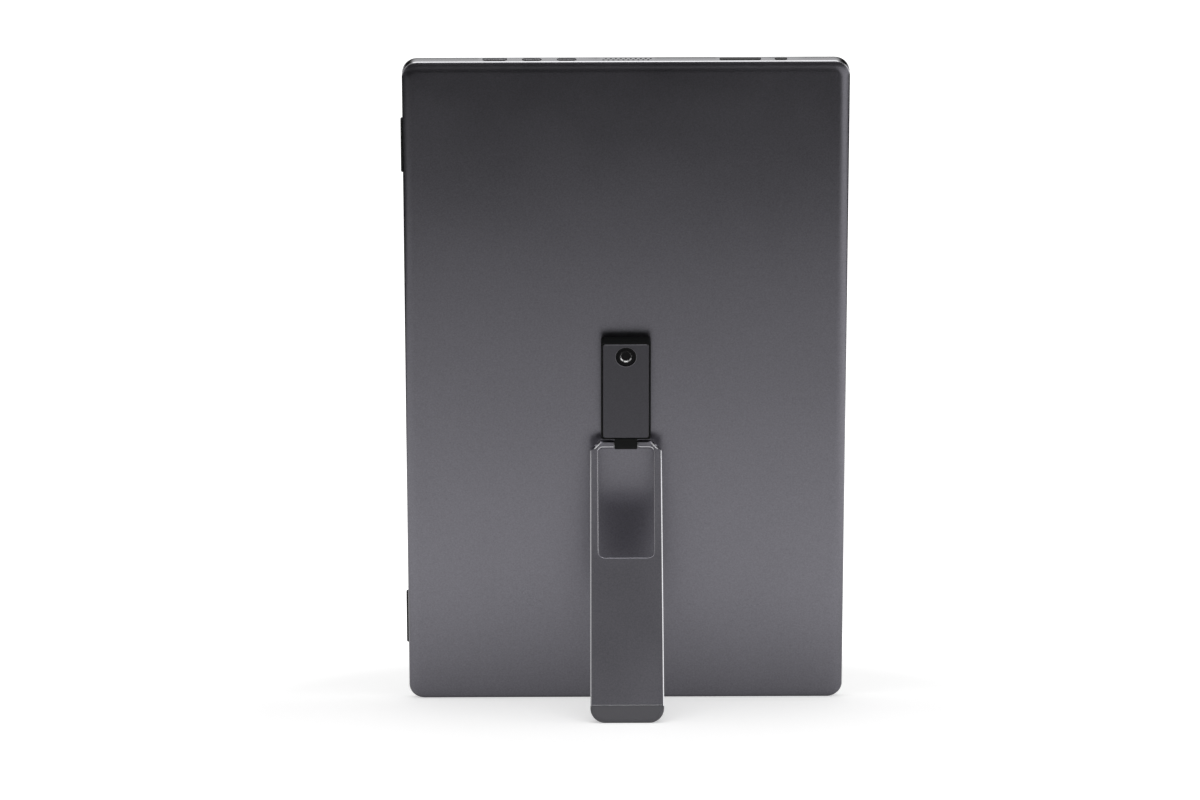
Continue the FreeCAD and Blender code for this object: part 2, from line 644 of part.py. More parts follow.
def key_cap(x, width):
    """Rounded cap of one key, from its flange to its proud face."""
    centre = V(x, PORT_DEPTH, KEY_FLANGE_LOW)
    size = (width - 2 * KEY_FIT, KEY_HEIGHT - 2 * KEY_FIT)
    cap = rounded_plate(centre, *size, KEY_CORNER - KEY_FIT, KEY_TOP - KEY_FLANGE_LOW, X_AXIS, Y_AXIS, Z_AXIS)
    flange_half = width / 2 + KEY_FLANGE_REACH
    flange = slab(x - flange_half, x + flange_half, KEY_BACK, KEY_FRONT, KEY_FLANGE_LOW, KEY_FLANGE_TOP)
    return cap.fuse(flange)


def menu_rocker():
    """Rocker key with the boss that turns on its pin."""
    back = V(ROCKER_X, KEY_BACK, ROCKER_PIN_Z)
    front = V(ROCKER_X, KEY_FRONT, ROCKER_PIN_Z)
    boss = rod(ROCKER_BOSS_RADIUS, back, front)
    bore = rod(ROCKER_PIN_RADIUS + ROCKER_PIN_FIT, back, front)
    return key_cap(ROCKER_X, ROCKER_WIDTH).fuse(boss).cut(bore).removeSplitter()


def power_button():
    """Push key with the stem that presses its switch."""
    half = POWER_STEM_WIDTH / 2
    stem = slab(POWER_X - half, POWER_X + half, KEY_BACK, KEY_FRONT, POWER_STEM_LOW, KEY_FLANGE_LOW)
    return key_cap(POWER_X, POWER_WIDTH).fuse(stem).removeSplitter()


def rocker_pin():
    """Steel pin that stands in the bracket and carries the rocker."""
    return rod(ROCKER_PIN_RADIUS, V(ROCKER_X, BACK_WALL, ROCKER_PIN_Z), V(ROCKER_X, KEY_FRONT, ROCKER_PIN_Z))


def button_bracket():
    """Plastic plate behind the keys, held by two screws, with the seat of the rocker's pin."""
    plate = slab(BRACKET_LEFT, BRACKET_RIGHT, BACK_WALL, BRACKET_FRONT, BRACKET_LOW, BRACKET_TOP)
    pin_hole = ROCKER_PIN_RADIUS + SCREW_FIT
    cuts = [rod(pin_hole, V(ROCKER_X, 0, ROCKER_PIN_Z), V(ROCKER_X, FRONT_Y, ROCKER_PIN_Z))]
    boss_hole = BOSS_RADIUS + SCREW_HOLE_CLEAR
    cuts += [rod(boss_hole, V(x, 0, z), V(x, FRONT_Y, z)) for x, z in bracket_screw_places()]
    return plate.cut(cuts)


def button_board():
    """Narrow board on the bracket that carries the key switches."""
    left = BRACKET_LEFT + BRACKET_END
    right = BRACKET_RIGHT - BRACKET_END
    low = BUTTON_BOARD_TOP - BUTTON_BOARD_LENGTH
    return slab(left, right, BRACKET_FRONT, BUTTON_BOARD_FRONT, low, BUTTON_BOARD_TOP)


def tact_switch(x, plunger_top):
    """Side-push switch on the button board, with its plunger."""
    body_top = plunger_top - PLUNGER_LENGTH
    half = SWITCH_WIDTH / 2
    back = BUTTON_BOARD_FRONT
    front = back + SWITCH_HEIGHT
    body = slab(x - half, x + half, back, front, body_top - SWITCH_LENGTH, body_top)
    half_p = PLUNGER_WIDTH / 2
    plunger = slab(x - half_p, x + half_p, back + PLUNGER_RIM, front - PLUNGER_RIM, body_top, plunger_top)
    return body.fuse(plunger).removeSplitter()


def tact_switches():
    """One switch under each end of the rocker and one under the power button."""
    switches = [tact_switch(ROCKER_X + side * ROCKER_SWITCH_REACH, ROCKER_PLUNGER_TOP) for side in (-1, 1)]
    switches.append(tact_switch(POWER_X, POWER_PLUNGER_TOP))
    return Part.makeCompound(switches)


def swivel_plate():
    """Steel plate that stiffens the back wall round the swivel."""
    centre = V(0, BACK_WALL, SWIVEL_Z)
    size = SWIVEL_PLATE_SIZE
    plate = rounded_plate(centre, size, size, SWIVEL_PLATE_CORNER, SWIVEL_PLATE_THICKNESS)
    cuts = [rod(HUB_RADIUS + HUB_FIT, V(0, 0, SWIVEL_Z), V(0, SHELL_DEPTH, SWIVEL_Z))]
    cuts += [rod(RIVET_RADIUS + RIVET_FIT, V(x, 0, z), V(x, SHELL_DEPTH, z)) for x, z in rivet_places()]
    return plate.cut(cuts)


def swivel_hub():
    """Steel hub that turns in the back wall and sits in the block's socket."""
    hub = rod(HUB_RADIUS, V(0, HUB_BOTTOM, SWIVEL_Z), V(0, RETAINER_BACK, SWIVEL_Z))
    hole = RETAINER_SCREW_RADIUS + RIVET_FIT
    holes = [rod(hole, V(x, HUB_BOTTOM, z), V(x, RETAINER_BACK, z)) for x, z in retainer_screw_places()]
    return hub.cut(holes)


def friction_washer():
    """Flat ring that gives the swivel its friction."""
    inner = HUB_RADIUS + WASHER_BORE_GAP
    ring = rod(inner + WASHER_BAND, V(0, WASHER_BACK, SWIVEL_Z), V(0, RETAINER_BACK, SWIVEL_Z))
    return ring.cut(rod(inner, V(0, 0, SWIVEL_Z), V(0, SHELL_DEPTH, SWIVEL_Z)))


def swivel_retainer():
    """Disc screwed to the hub's inner end, which keeps the block on the panel."""
    disc = rod(HUB_RADIUS + RETAINER_REACH, V(0, RETAINER_BACK, SWIVEL_Z), V(0, RETAINER_FRONT, SWIVEL_Z))
    hole = RETAINER_SCREW_RADIUS + RIVET_FIT
    return disc.cut([rod(hole, V(x, 0, z), V(x, SHELL_DEPTH, z)) for x, z in retainer_screw_places()])


def retainer_screws():
    """Screws through the retainer and the hub into the block."""
    size = (RETAINER_SCREW_RADIUS, RETAINER_HEAD_RADIUS, RETAINER_HEAD_HEIGHT)
    tip = RETAINER_FRONT - RETAINER_SCREW_LENGTH
    return Part.makeCompound([screw(*size, x, z, tip, RETAINER_FRONT) for x, z in retainer_screw_places()])


def bush_axis_point(y):
    """Point on the tripod bush's axis at a given depth."""
    return V(0, y, SWIVEL_Z + BUSH_UP)


def stand_block():
    """Black block with the plate's pocket, the bush's bore, the hub's socket and the hinge knuckle."""
    centre = V(0, -BLOCK_LIFT, SWIVEL_Z)
    thickness = BLOCK_HEIGHT - BLOCK_LIFT
    block = rounded_plate(centre, BLOCK_WIDTH, BLOCK_LENGTH, BLOCK_CORNER, thickness, normal=-Y_AXIS)
    half = KNUCKLE_WIDTH / 2
    back = -HINGE_HEIGHT + KNUCKLE_RADIUS
    root = slab(-half, half, -HINGE_HEIGHT - KNUCKLE_RADIUS, back, HINGE_Z, BLOCK_LOW)
    knuckle = rod(KNUCKLE_RADIUS, V(-half, -HINGE_HEIGHT, HINGE_Z), V(half, -HINGE_HEIGHT, HINGE_Z))
    block = block.fuse([root, knuckle])
    pocket = rounded_plate(V(0, -BLOCK_HEIGHT + FACE_THICKNESS, SWIVEL_Z), BLOCK_WIDTH - 2 * FACE_MARGIN,
                           BLOCK_LENGTH - 2 * FACE_MARGIN, BLOCK_CORNER, BLOCK_HEIGHT, normal=-Y_AXIS)
    bush_bottom = -BLOCK_HEIGHT + BUSH_BORE_DEPTH + BUSH_FLOOR
    bush_radius = BUSH_BODY_RADIUS + BUSH_FIT
    bush_hole = rod(bush_radius, bush_axis_point(-2 * BLOCK_HEIGHT), bush_axis_point(bush_bottom))
    socket = rod(HUB_RADIUS + HUB_SOCKET_FIT, V(0, HUB_BOTTOM, SWIVEL_Z), V(0, BLOCK_HEIGHT, SWIVEL_Z))
    pin_bore = rod(HINGE_PIN_RADIUS + HINGE_PIN_FIT, V(-BLOCK_WIDTH, -HINGE_HEIGHT, HINGE_Z),
                   V(BLOCK_WIDTH, -HINGE_HEIGHT, HINGE_Z))
    tip = RETAINER_FRONT - RETAINER_SCREW_LENGTH
    hole = RETAINER_SCREW_RADIUS + SCREW_FIT
    holes = [rod(hole, V(x, tip, z), V(x, SHELL_DEPTH, z)) for x, z in retainer_screw_places()]
    return block.cut([pocket, bush_hole, socket, pin_bore] + holes).removeSplitter()


def block_face_plate():
    """Grey metal plate in the block's pocket, with a bevelled edge."""
    margin = FACE_MARGIN + FACE_FIT
    centre = V(0, -BLOCK_HEIGHT + FACE_THICKNESS, SWIVEL_Z)
    plate = rounded_plate(centre, BLOCK_WIDTH - 2 * margin, BLOCK_LENGTH - 2 * margin,
                          BLOCK_CORNER - FACE_FIT, FACE_THICKNESS, normal=-Y_AXIS)
    plate = plate.makeChamfer(FACE_CHAMFER, edges_on_plane(plate, "Y", -BLOCK_HEIGHT))
    flange_hole = BUSH_FLANGE_RADIUS + BUSH_FIT
    return plate.cut(rod(flange_hole, bush_axis_point(-2 * BLOCK_HEIGHT), bush_axis_point(0)))


def tripod_bush():
    """Flanged bush whose bore takes a camera stand's screw."""
    bottom = -BLOCK_HEIGHT + BUSH_BORE_DEPTH + BUSH_FLOOR
    seat = -BLOCK_HEIGHT + FACE_THICKNESS
    bush = rod(BUSH_BODY_RADIUS, bush_axis_point(-BLOCK_HEIGHT), bush_axis_point(bottom))
    bush = bush.fuse(rod(BUSH_FLANGE_RADIUS, bush_axis_point(-BLOCK_HEIGHT), bush_axis_point(seat)))
    bore = rod(BUSH_BORE_RADIUS, bush_axis_point(-2 * BLOCK_HEIGHT), bush_axis_point(bottom - BUSH_FLOOR))
    mouth = Part.makeCone(BUSH_BORE_RADIUS + BUSH_MOUTH, BUSH_BORE_RADIUS, BUSH_MOUTH,
                          bush_axis_point(-BLOCK_HEIGHT), Y_AXIS)
    return bush.cut([bore, mouth]).removeSplitter()


def leg_point(side, reach, y):
    """Point of the leg while it hangs straight down: across, along from the hinge, and in depth."""
    return V(side, y, HINGE_Z - reach)


def leg_half_width(reach):
    """Half the metal leg's width at a distance from the hinge."""
    share = (reach + EAR_RADIUS) / (LEG_METAL_END + EAR_RADIUS)
    return (LEG_TOP_WIDTH + (LEG_FOOT_WIDTH - LEG_TOP_WIDTH) * share) / 2


def leg_face():
    """Outer face of the leg's depth range and the one towards the panel."""
    return -HINGE_HEIGHT - LEG_THICKNESS / 2, -HINGE_HEIGHT + LEG_THICKNESS / 2


def window_cut():
    """Rounded window that the block fits into when the leg is folded up."""
    height = WINDOW_FAR - EAR_RADIUS
    middle = leg_point(0, EAR_RADIUS + height / 2, -2 * HINGE_HEIGHT)
    return rounded_plate(middle, 2 * WINDOW_HALF, height, WINDOW_CORNER, 2 * HINGE_HEIGHT)


def leg_frame():
    """Metal leg with chamfered top corners, window, two hinge ears and a tongue for the pad."""
    outer, inner = leg_face()
    top = leg_half_width(-EAR_RADIUS)
    shoulder = LEG_TOP_CHAMFER - EAR_RADIUS
    corners = [
        (top - LEG_TOP_CHAMFER, -EAR_RADIUS),
        (leg_half_width(shoulder), shoulder),
        (leg_half_width(LEG_METAL_END), LEG_METAL_END),
    ]
    ring = corners + [(-x, reach) for x, reach in reversed(corners)]
    points = [leg_point(x, reach, outer) for x, reach in ring]
    points.append(points[0])
    plate = Part.Face(Part.makePolygon(points)).extrude(Y_AXIS * LEG_THICKNESS)
    plate = plate.cut(window_cut())
    plate = plate.makeChamfer(LEG_EDGE_CHAMFER, edges_on_plane(plate, "Y", outer))
    half_w = leg_half_width(LEG_METAL_END) - TONGUE_SIDE
    half_t = LEG_TONGUE_THICKNESS / 2
    tongue_end = LEG_METAL_END + TONGUE_LENGTH
    tongue = slab(-half_w, half_w, -HINGE_HEIGHT - half_t, -HINGE_HEIGHT + half_t,
                  HINGE_Z - tongue_end, HINGE_Z - LEG_METAL_END)
    ear_bar = rod(EAR_RADIUS, V(-top, -HINGE_HEIGHT, HINGE_Z), V(top, -HINGE_HEIGHT, HINGE_Z))
    above = slab(-top, top, outer, inner, HINGE_Z, HINGE_Z + EAR_RADIUS)
    notch_reach = KNUCKLE_RADIUS + HINGE_PIN_RADIUS
    notch = slab(-EAR_INNER, EAR_INNER, 2 * outer, 0, HINGE_Z - notch_reach, HINGE_Z + notch_reach)
    bore = rod(HINGE_PIN_RADIUS + HINGE_PIN_PRESS, V(-LEG_TOP_WIDTH, -HINGE_HEIGHT, HINGE_Z),
               V(LEG_TOP_WIDTH, -HINGE_HEIGHT, HINGE_Z))
    return plate.fuse(tongue).cut(above.cut(ear_bar)).cut([notch, bore]).removeSplitter()


def leg_foot_pad():
    """Rubber pad on the leg's tongue, with round lower corners and a rounded sole."""
    outer, inner = leg_face()
    half = leg_half_width(LEG_METAL_END)
    bend = PAD_CORNER * (1 - math.sqrt(0.5))
    corners = []
    for side in (-1, 1):
        top = leg_point(side * half, LEG_METAL_END, outer)
        start = leg_point(side * half, LEG_REACH - PAD_CORNER, outer)
        middle = leg_point(side * (half - bend), LEG_REACH - bend, outer)
        end = leg_point(side * (half - PAD_CORNER), LEG_REACH, outer)
        corners.append((top, start, middle, end))
    left, right = corners
    edges = [
        Part.LineSegment(left[0], right[0]).toShape(),
        Part.LineSegment(right[0], right[1]).toShape(),
        Part.Arc(*right[1:]).toShape(),
        Part.LineSegment(right[3], left[3]).toShape(),
        Part.Arc(left[3], left[2], left[1]).toShape(),
        Part.LineSegment(left[1], left[0]).toShape(),
    ]
    pad = Part.Face(Part.Wire(edges)).extrude(Y_AXIS * LEG_THICKNESS)
    seam = HINGE_Z - LEG_METAL_END
    rims = edges_on_plane(pad, "Y", outer) + edges_on_plane(pad, "Y", inner)
    pad = pad.makeFillet(PAD_ROUND, [edge for edge in rims if edge.BoundBox.ZMin < seam - PAD_ROUND])
    half_w = half - TONGUE_SIDE + TONGUE_FIT
    half_t = LEG_TONGUE_THICKNESS / 2 + TONGUE_FIT
    slot = slab(-half_w, half_w, -HINGE_HEIGHT - half_t, -HINGE_HEIGHT + half_t,
                seam - TONGUE_LENGTH - TONGUE_FIT, seam)
    return pad.cut(slot)


def hinge_pin():
    """Steel pin pressed into the leg's ears, which turns in the block's knuckle."""
    half = LEG_TOP_WIDTH / 2 - HINGE_PIN_SINK
    return rod(HINGE_PIN_RADIUS, V(-half, -HINGE_HEIGHT, HINGE_Z), V(half, -HINGE_HEIGHT, HINGE_Z))


def hinge_washers():
    """One friction washer on each side of the knuckle."""
    washers = []
    for side in (-1, 1):
        start = side * (KNUCKLE_WIDTH / 2 + HINGE_SIDE_GAP)
        end = start + side * HINGE_WASHER_THICKNESS
        ring = rod(HINGE_WASHER_RADIUS, V(start, -HINGE_HEIGHT, HINGE_Z), V(end, -HINGE_HEIGHT, HINGE_Z))
        hole = rod(HINGE_PIN_RADIUS + HINGE_PIN_FIT, V(-BLOCK_WIDTH, -HINGE_HEIGHT, HINGE_Z),
                   V(BLOCK_WIDTH, -HINGE_HEIGHT, HINGE_Z))
        washers.append(ring.cut(hole))
    return Part.makeCompound(washers)


def opened(leg_piece):
    """A leg piece, swung out from the panel about the hinge."""
    turned = leg_piece.copy()
    turned.rotate(V(0, -HINGE_HEIGHT, HINGE_Z), X_AXIS, -LEG_OPEN_DEG)
    return turned


def lean_angle():
    """Lean that puts the lower edge and the rounded foot on one level, in degrees.

    The lower edge stands on the corner where the bevel meets the wall. The foot touches with a round of known
    centre and radius, so the ground is the line through that corner that is tangent to the round.
    """
    swing = math.radians(LEG_OPEN_DEG)
    along = LEG_REACH - PAD_ROUND
    offset = LEG_THICKNESS / 2 - PAD_ROUND
    foot_out = HINGE_HEIGHT + along * math.sin(swing) - offset * math.cos(swing)
    foot_up = HINGE_Z - along * math.cos(swing) - offset * math.sin(swing)
    spread = BEVEL_END + foot_out
    rise = math.atan2(foot_up, spread)
    return math.degrees(rise - math.asin(PAD_ROUND / math.hypot(foot_up, spread)))


def build():
    """All pieces in the panel's frame, by name."""
    low_foot, high_foot = foot_heights()
    return {
        "rear_shell": rear_shell(),
        "front_frame": front_frame(),
        "cover_glass": cover_glass(),
        "lcd_cell": stack_layer(LCD_BACK, GLASS_BACK),
        "diffuser_stack": stack_layer(DIFFUSER_BACK, LCD_BACK),
        "light_guide": light_guide(),
        "led_bar": led_bar(),
        "reflector_sheet": stack_layer(REFLECTOR_BACK, LIGHT_GUIDE_BACK),
        "panel_tray": panel_tray(),
        "panel_driver_board": panel_driver_board(),
        "display_flex": display_flex(),
        "main_board": main_board(),
        "shield_can": shield_can(),
        "video_socket": video_socket(),
        "data_socket_a": data_socket(DATA_A_X),
        "data_socket_b": data_socket(DATA_B_X),
        "housing_screws": housing_screws(),
        "speaker_module": speaker_module(),
        "speaker_mesh": speaker_mesh(),
        "button_bracket": button_bracket(),
        "button_board": button_board(),
        "tact_switches": tact_switches(),
        "rocker_pin": rocker_pin(),
        "edge_foot_lower": foot_shape(low_foot, FOOT_PROUD, FOOT_SINK, 0),
        "edge_foot_upper": foot_shape(high_foot, FOOT_PROUD, FOOT_SINK, 0),
        "swivel_plate": swivel_plate(),
        "menu_rocker": menu_rocker(),
        "power_button": power_button(),
        "stand_block": stand_block(),
        "block_face_plate": block_face_plate(),
        "tripod_bush": tripod_bush(),
        "swivel_hub": swivel_hub(),
        "friction_washer": friction_washer(),
        "swivel_retainer": swivel_retainer(),
        "retainer_screws": retainer_screws(),
        "hinge_washers": hinge_washers(),
        "leg_frame": opened(leg_frame()),
        "leg_foot_pad": opened(leg_foot_pad()),
        "hinge_pin": opened(hinge_pin()),
    }


def stand_up(pieces):
    """Lean every piece about the lower edge, then move the footprint's middle to the origin."""
    lean = lean_angle()
    leaned = {}
    for name, shape in pieces.items():
        turned = shape.copy()
        turned.rotate(V(0, 0, 0), X_AXIS, lean)
        leaned[name] = turned
    box = Part.makeCompound(list(leaned.values())).optimalBoundingBox(False, False)
    shift = V(-(box.XMin + box.XMax) / 2, -(box.YMin + box.YMax) / 2, -box.ZMin)
    for shape in leaned.values():
        shape.translate(shift)
    return leaned, lean, shift


def main():
    """Build, stand up and write every piece."""
    os.makedirs("parts", exist_ok=True)
    pieces, lean, shift = stand_up(build())
    for name, shape in pieces.items():
        shape.exportStep(os.path.join("parts", name + ".step"))
    print("lean", round(lean, 4), "shift", [round(value, 4) for value in shift])


main()
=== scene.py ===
import json
import math
import bmesh
import bpy
import numpy as np
from mathutils import Matrix, Vector


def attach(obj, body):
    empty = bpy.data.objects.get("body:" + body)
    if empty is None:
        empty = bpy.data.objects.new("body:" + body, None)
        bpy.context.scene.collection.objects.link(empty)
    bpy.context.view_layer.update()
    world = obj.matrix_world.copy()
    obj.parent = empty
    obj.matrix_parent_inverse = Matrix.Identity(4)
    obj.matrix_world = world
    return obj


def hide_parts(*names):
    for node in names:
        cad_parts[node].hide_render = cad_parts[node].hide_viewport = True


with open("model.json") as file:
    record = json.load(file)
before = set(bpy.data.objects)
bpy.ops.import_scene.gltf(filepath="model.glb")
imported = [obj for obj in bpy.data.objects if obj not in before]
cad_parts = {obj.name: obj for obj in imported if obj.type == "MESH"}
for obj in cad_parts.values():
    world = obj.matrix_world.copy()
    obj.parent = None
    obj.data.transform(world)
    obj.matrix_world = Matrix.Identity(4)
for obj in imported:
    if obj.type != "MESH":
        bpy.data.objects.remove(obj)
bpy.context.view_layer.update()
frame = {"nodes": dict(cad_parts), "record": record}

JOINTS = {joint["name"]: joint for joint in frame["record"]["behaviour"]["joints"]}
MM = 0.001

# Panel and its shell, in millimetres. A RING is the flat band inside the edge of a large flat face, which keeps the
# face's shading even
PANEL_W, PANEL_H, PANEL_CORNER = 225.0, 356.0, 8.0
SHELL_DEPTH, SIDE_WALL, BACK_WALL = 7.5, 2.0, 1.5
CURVE_W, CURVE_D, BEVEL, RIM_R, SHELL_RING = 5.0, 1.4, 0.6, 0.3, 1.0
SWIVEL_Z = 179.1

# Screen side, in millimetres: insets from the panel's outline, and depths from its back
FRAME_INSET, FRAME_BORDER, FRAME_LIP, FRAME_FIT = 1.0, 2.6, 4.2, 0.1
FRAME_FRONT, FRAME_LEDGE, FRAME_BACK = 9.5, 8.7, 6.4
FRAME_R, FRAME_CHAMFER = 0.5, 0.12
GLASS_INSET, GLASS_BACK, GLASS_FRONT = 2.7, 8.72, 9.4
GLASS_R, GLASS_RING, GLASS_CORNER = 0.35, 0.45, 3.0

# Screen's active area, in metres in the panel's plane
SCREEN_SIDES = [("Left", -0.0905), ("Right", 0.1031), ("Below", 0.0059), ("Above", 0.3501)]
SCREEN_BLUR = 0.0001

# Upper edge, in millimetres. A tongue is its width, its contacts on each side and their pitch
PORT_Y, PORT_FIT = 4.4, 0.15
VIDEO_X, VIDEO_HALF_W, VIDEO_HALF_H, VIDEO_BEVEL = -65.8, 5.95, 1.6, 1.1
DATA_XS, DATA_W, DATA_H = (-47.2, -29.7), 9.6, 3.2
VIDEO_TONGUE, DATA_TONGUE = (8.0, 10, 0.7), (6.7, 12, 0.5)
SOCKET_SINK, SOCKET_LENGTH, SOCKET_WALL, SOCKET_FLOOR, SOCKET_LIP = 0.4, 7.3, 0.3, 0.8, 0.15
TONGUE_T, TONGUE_START, TONGUE_SHORT, TONGUE_R = 0.7, 0.5, 1.2, 0.2
CONTACT_SIZE, CONTACT_OFF, CONTACT_START, CONTACT_SHORT, CONTACT_R = (0.26, 0.1), 0.37, 1.2, 1.7, 0.04
GRILLE_X, GRILLE_N, GRILLE_PITCH, GRILLE_R, GRILLE_GAP = 0.6, 10, 2.5, 0.6, 1.6
ROCKER_X, ROCKER_W, POWER_X, POWER_W = 57.4, 20.8, 77.8, 6.2
KEY_H, KEY_FIT, KEY_SLOT_CORNER, KEY_CORNER, KEY_LEAST_CORNER = 3.0, 0.3, 0.9, 0.6, 0.1
KEY_PROUD, KEY_DEEP, KEY_R, KEY_DOME, KEY_RING = 0.4, 4.0, 0.45, 0.05, 0.4

# Rubber feet on the long edge, in millimetres
FOOT_W, FOOT_L, FOOT_Y, FOOT_END_GAP = 4.4, 29.5, 4.7, 46.0
FOOT_PROUD, FOOT_SINK, FOOT_R, FOOT_RING = 1.0, 0.5, 0.7, 0.3

# Stand block, in millimetres. As in the photo, block and plate end 0.6 and the knuckle 0.4 lower than in the CAD
BLOCK_W, BLOCK_L, BLOCK_H, BLOCK_LIFT, BLOCK_MID = 25.4, 54.0, 8.0, 0.3, 178.8
BLOCK_CORNER, BLOCK_CORNER_SHARE, BLOCK_R, BLOCK_CHAMFER = 1.5, 0.3, 0.35, 0.3
POCKET_DEPTH, POCKET_INSET, POCKET_DRAFT = 1.0, 0.72, 0.03
PLATE_INSET, PLATE_BEVEL, PLATE_CORNER, PLATE_HOLE = 0.8, 0.3, 1.45, 5.32
HINGE_Z, HINGE_Y = 148.3, -5.6
KNUCKLE_HALF, KNUCKLE_CHAMFER = 5.8, 0.2
KNUCKLE_DEEP, KNUCKLE_DROP, KNUCKLE_RISE = 2.4, 2.8, 4.1

# Bush, in millimetres: its profile as radius and height over the block's face, from its back end to its mouth.
# The rim is the strips of the profile round the flange
BUSH_Z = SWIVEL_Z + 18.9
BUSH_PROFILE = np.array([
    (4.3, -6.4), (4.3, -1.0), (5.28, -1.0), (5.28, 0.01), (5.5, 0.01), (5.48, 0.05), (5.3, 0.07), (5.1, -0.02),
    (4.7, -0.02), (4.6, -0.22), (4.45, -0.22), (4.35, -0.06), (3.4, -0.06), (3.25, -0.2), (3.15, -0.3), (3.1, -0.26),
    (3.0, -0.28), (2.45, -0.83)])
BUSH_RIM = slice(4, 6)
BUSH_SIDES, THREAD_ROWS = 96, 90
THREAD_R, THREAD_HEIGHT, THREAD_PITCH, THREAD_START, THREAD_STOP = 2.45, 0.6, 1.27, 1.0, 5.9

# Leg, in millimetres. The ears' half thickness is also how far they reach past the hinge's axis. INSTEP is the share
# of the foot's half width at which its samples get wider apart
LEG_REACH, LEG_END, LEG_T = 144.0, 135.7, 4.0
LEG_TOP_HALF, LEG_FOOT_HALF, LEG_BEVEL = 18.25, 18.75, 0.5
EAR_R, EAR_INNER, HINGE_BORE, BORE_REACH = LEG_T / 2, 6.4, 1.5, 30.0
KNEE_INSET, CORNER_REACH, CORNER_SLOPE, SHOULDER = 4.5, 2.5, 1.5, 1.2
CORNER_WIDER, CORNER_SHALLOWER, INSTEP, SIDE_ROWS = 0.15, 0.22, 0.6, 13
WINDOW_HALF, WINDOW_FAR, WINDOW_CORNERS = 14.3, 59.0, (2.4, 3.5)
WINDOW_BEVEL, WINDOW_FACET_W, WINDOW_FACET_D = 0.35, 0.25, 0.1
PAD_CORNER, PAD_R, PAD_RING, PAD_BLEND = 7.4, 1.8, 0.4, 1.5

PIVOT = np.array(JOINTS["stand_swivel"]["pos_m"])
INWARD = np.array(JOINTS["stand_swivel"]["axis"])
ACROSS = np.array([1.0, 0.0, 0.0])
UPWARD = np.cross(ACROSS, INWARD)
HINGE = np.array(JOINTS["leg_fold"]["pos_m"])
LEG_OPEN = math.radians(-JOINTS["leg_fold"]["range_deg"][0])
LEG_ALONG = -math.sin(LEG_OPEN) * INWARD - math.cos(LEG_OPEN) * UPWARD
LEG_OUT = -math.cos(LEG_OPEN) * INWARD + math.sin(LEG_OPEN) * UPWARD


def on_panel(x, y, z):
    """World places of panel points: the pivot plus each of across, depth and height along its own direction."""
    x, y, z = np.broadcast_arrays(x, y, z)
    local = x[..., None] * ACROSS + y[..., None] * INWARD + (z[..., None] - SWIVEL_Z) * UPWARD
    return PIVOT + MM * local


def on_leg(side, out, reach):
    """World places of leg points: the hinge plus side, outward and lengthwise parts along the leg's directions."""
    side, out, reach = np.broadcast_arrays(side, out, reach)
    local = side[..., None] * ACROSS + out[..., None] * LEG_OUT + reach[..., None] * LEG_ALONG
    return HINGE + MM * local


def between(a, b, count):
    """Points in equal steps from a towards b, without b."""
    share = np.linspace(0, 1, count + 1)[:-1, None]
    return np.array(a) * (1 - share) + np.array(b) * share


def circle(radius, count):
    """Points of a circle round the origin."""
    angle = np.linspace(0, 2 * np.pi, count, endpoint=False)
    return radius * np.stack([np.cos(angle), np.sin(angle)], 1)


def rounded_loop(width, height, corner, arc, run):
    """Closed outline of a rounded rectangle: quarter circles joined by straight runs, each cut into equal steps."""
    signs = ((1, 1), (-1, 1), (-1, -1), (1, -1))
    turn = np.linspace(0, np.pi / 2, arc + 1)
    centres = [np.array([sx * (width / 2 - corner), sy * (height / 2 - corner)]) for sx, sy in signs]
    points = []
    for quarter in range(4):
        angle = turn + quarter * np.pi / 2
        bend = centres[quarter] + corner * np.stack([np.cos(angle), np.sin(angle)], 1)
        target = bend[-1] + centres[(quarter + 1) % 4] - centres[quarter]
        if np.linalg.norm(target - bend[-1]) > 1e-6:
            points += [bend, between(bend[-1], target, run)[1:]]
        else:
            points.append(bend[:-1])
    return np.concatenate(points)


def side_normals(path, towards, closed=False):
    """Unit normals of a path, from its central differences, on the side that the given directions point to."""
    step = np.roll(path, -1, 0) - np.roll(path, 1, 0) if closed else np.gradient(path, axis=0)
    normal = np.stack([step[:, 1], -step[:, 0]], 1)
    normal = normal / np.linalg.norm(normal, axis=1, keepdims=True)
    return normal * np.sign((normal * towards).sum(1, keepdims=True))


def mirrored(arm, middle):
    """A path's first half, its middle point and the half's mirror image."""
    return np.concatenate([arm, [middle], (arm * np.array([-1.0, 1.0]))[::-1]])


def arc_rows(centre, radius, start, end, steps):
    """Rows of a profile along a circle between two angles in degrees."""
    angle = np.radians(np.linspace(start, end, steps))
    return np.stack([centre[0] + radius * np.cos(angle), centre[1] + radius * np.sin(angle)], 1)


def round_edge(radius, steps=7):
    """Insets and rises along a rounded edge: a quarter circle from its side to its top."""
    turn = np.radians(np.linspace(0, 90, steps))
    return radius * (1 - np.cos(turn)), radius * np.sin(turn)


def panel_grid(rows, corners, arc, run):
    """Places of a profile carried round the panel: each row draws the outline in and lies at its own depth."""
    loops = np.stack([rounded_loop(PANEL_W - 2 * inset, PANEL_H - 2 * inset, corner, arc, run)
                      for inset, corner in zip(rows[:, 0], corners)], 1)
    return on_panel(loops[..., 0], rows[:, 1], loops[..., 1] + PANEL_H / 2)


def block_grid(insets, heights, corners):
    """Places of a profile carried round the block: each row draws the outline in and has its height off the back."""
    loops = np.stack([rounded_loop(BLOCK_W - 2 * inset, BLOCK_L - 2 * inset, corner, arc=8, run=10)
                      for inset, corner in zip(insets, corners)], 1)
    return on_panel(loops[..., 0], -heights, loops[..., 1] + BLOCK_MID)


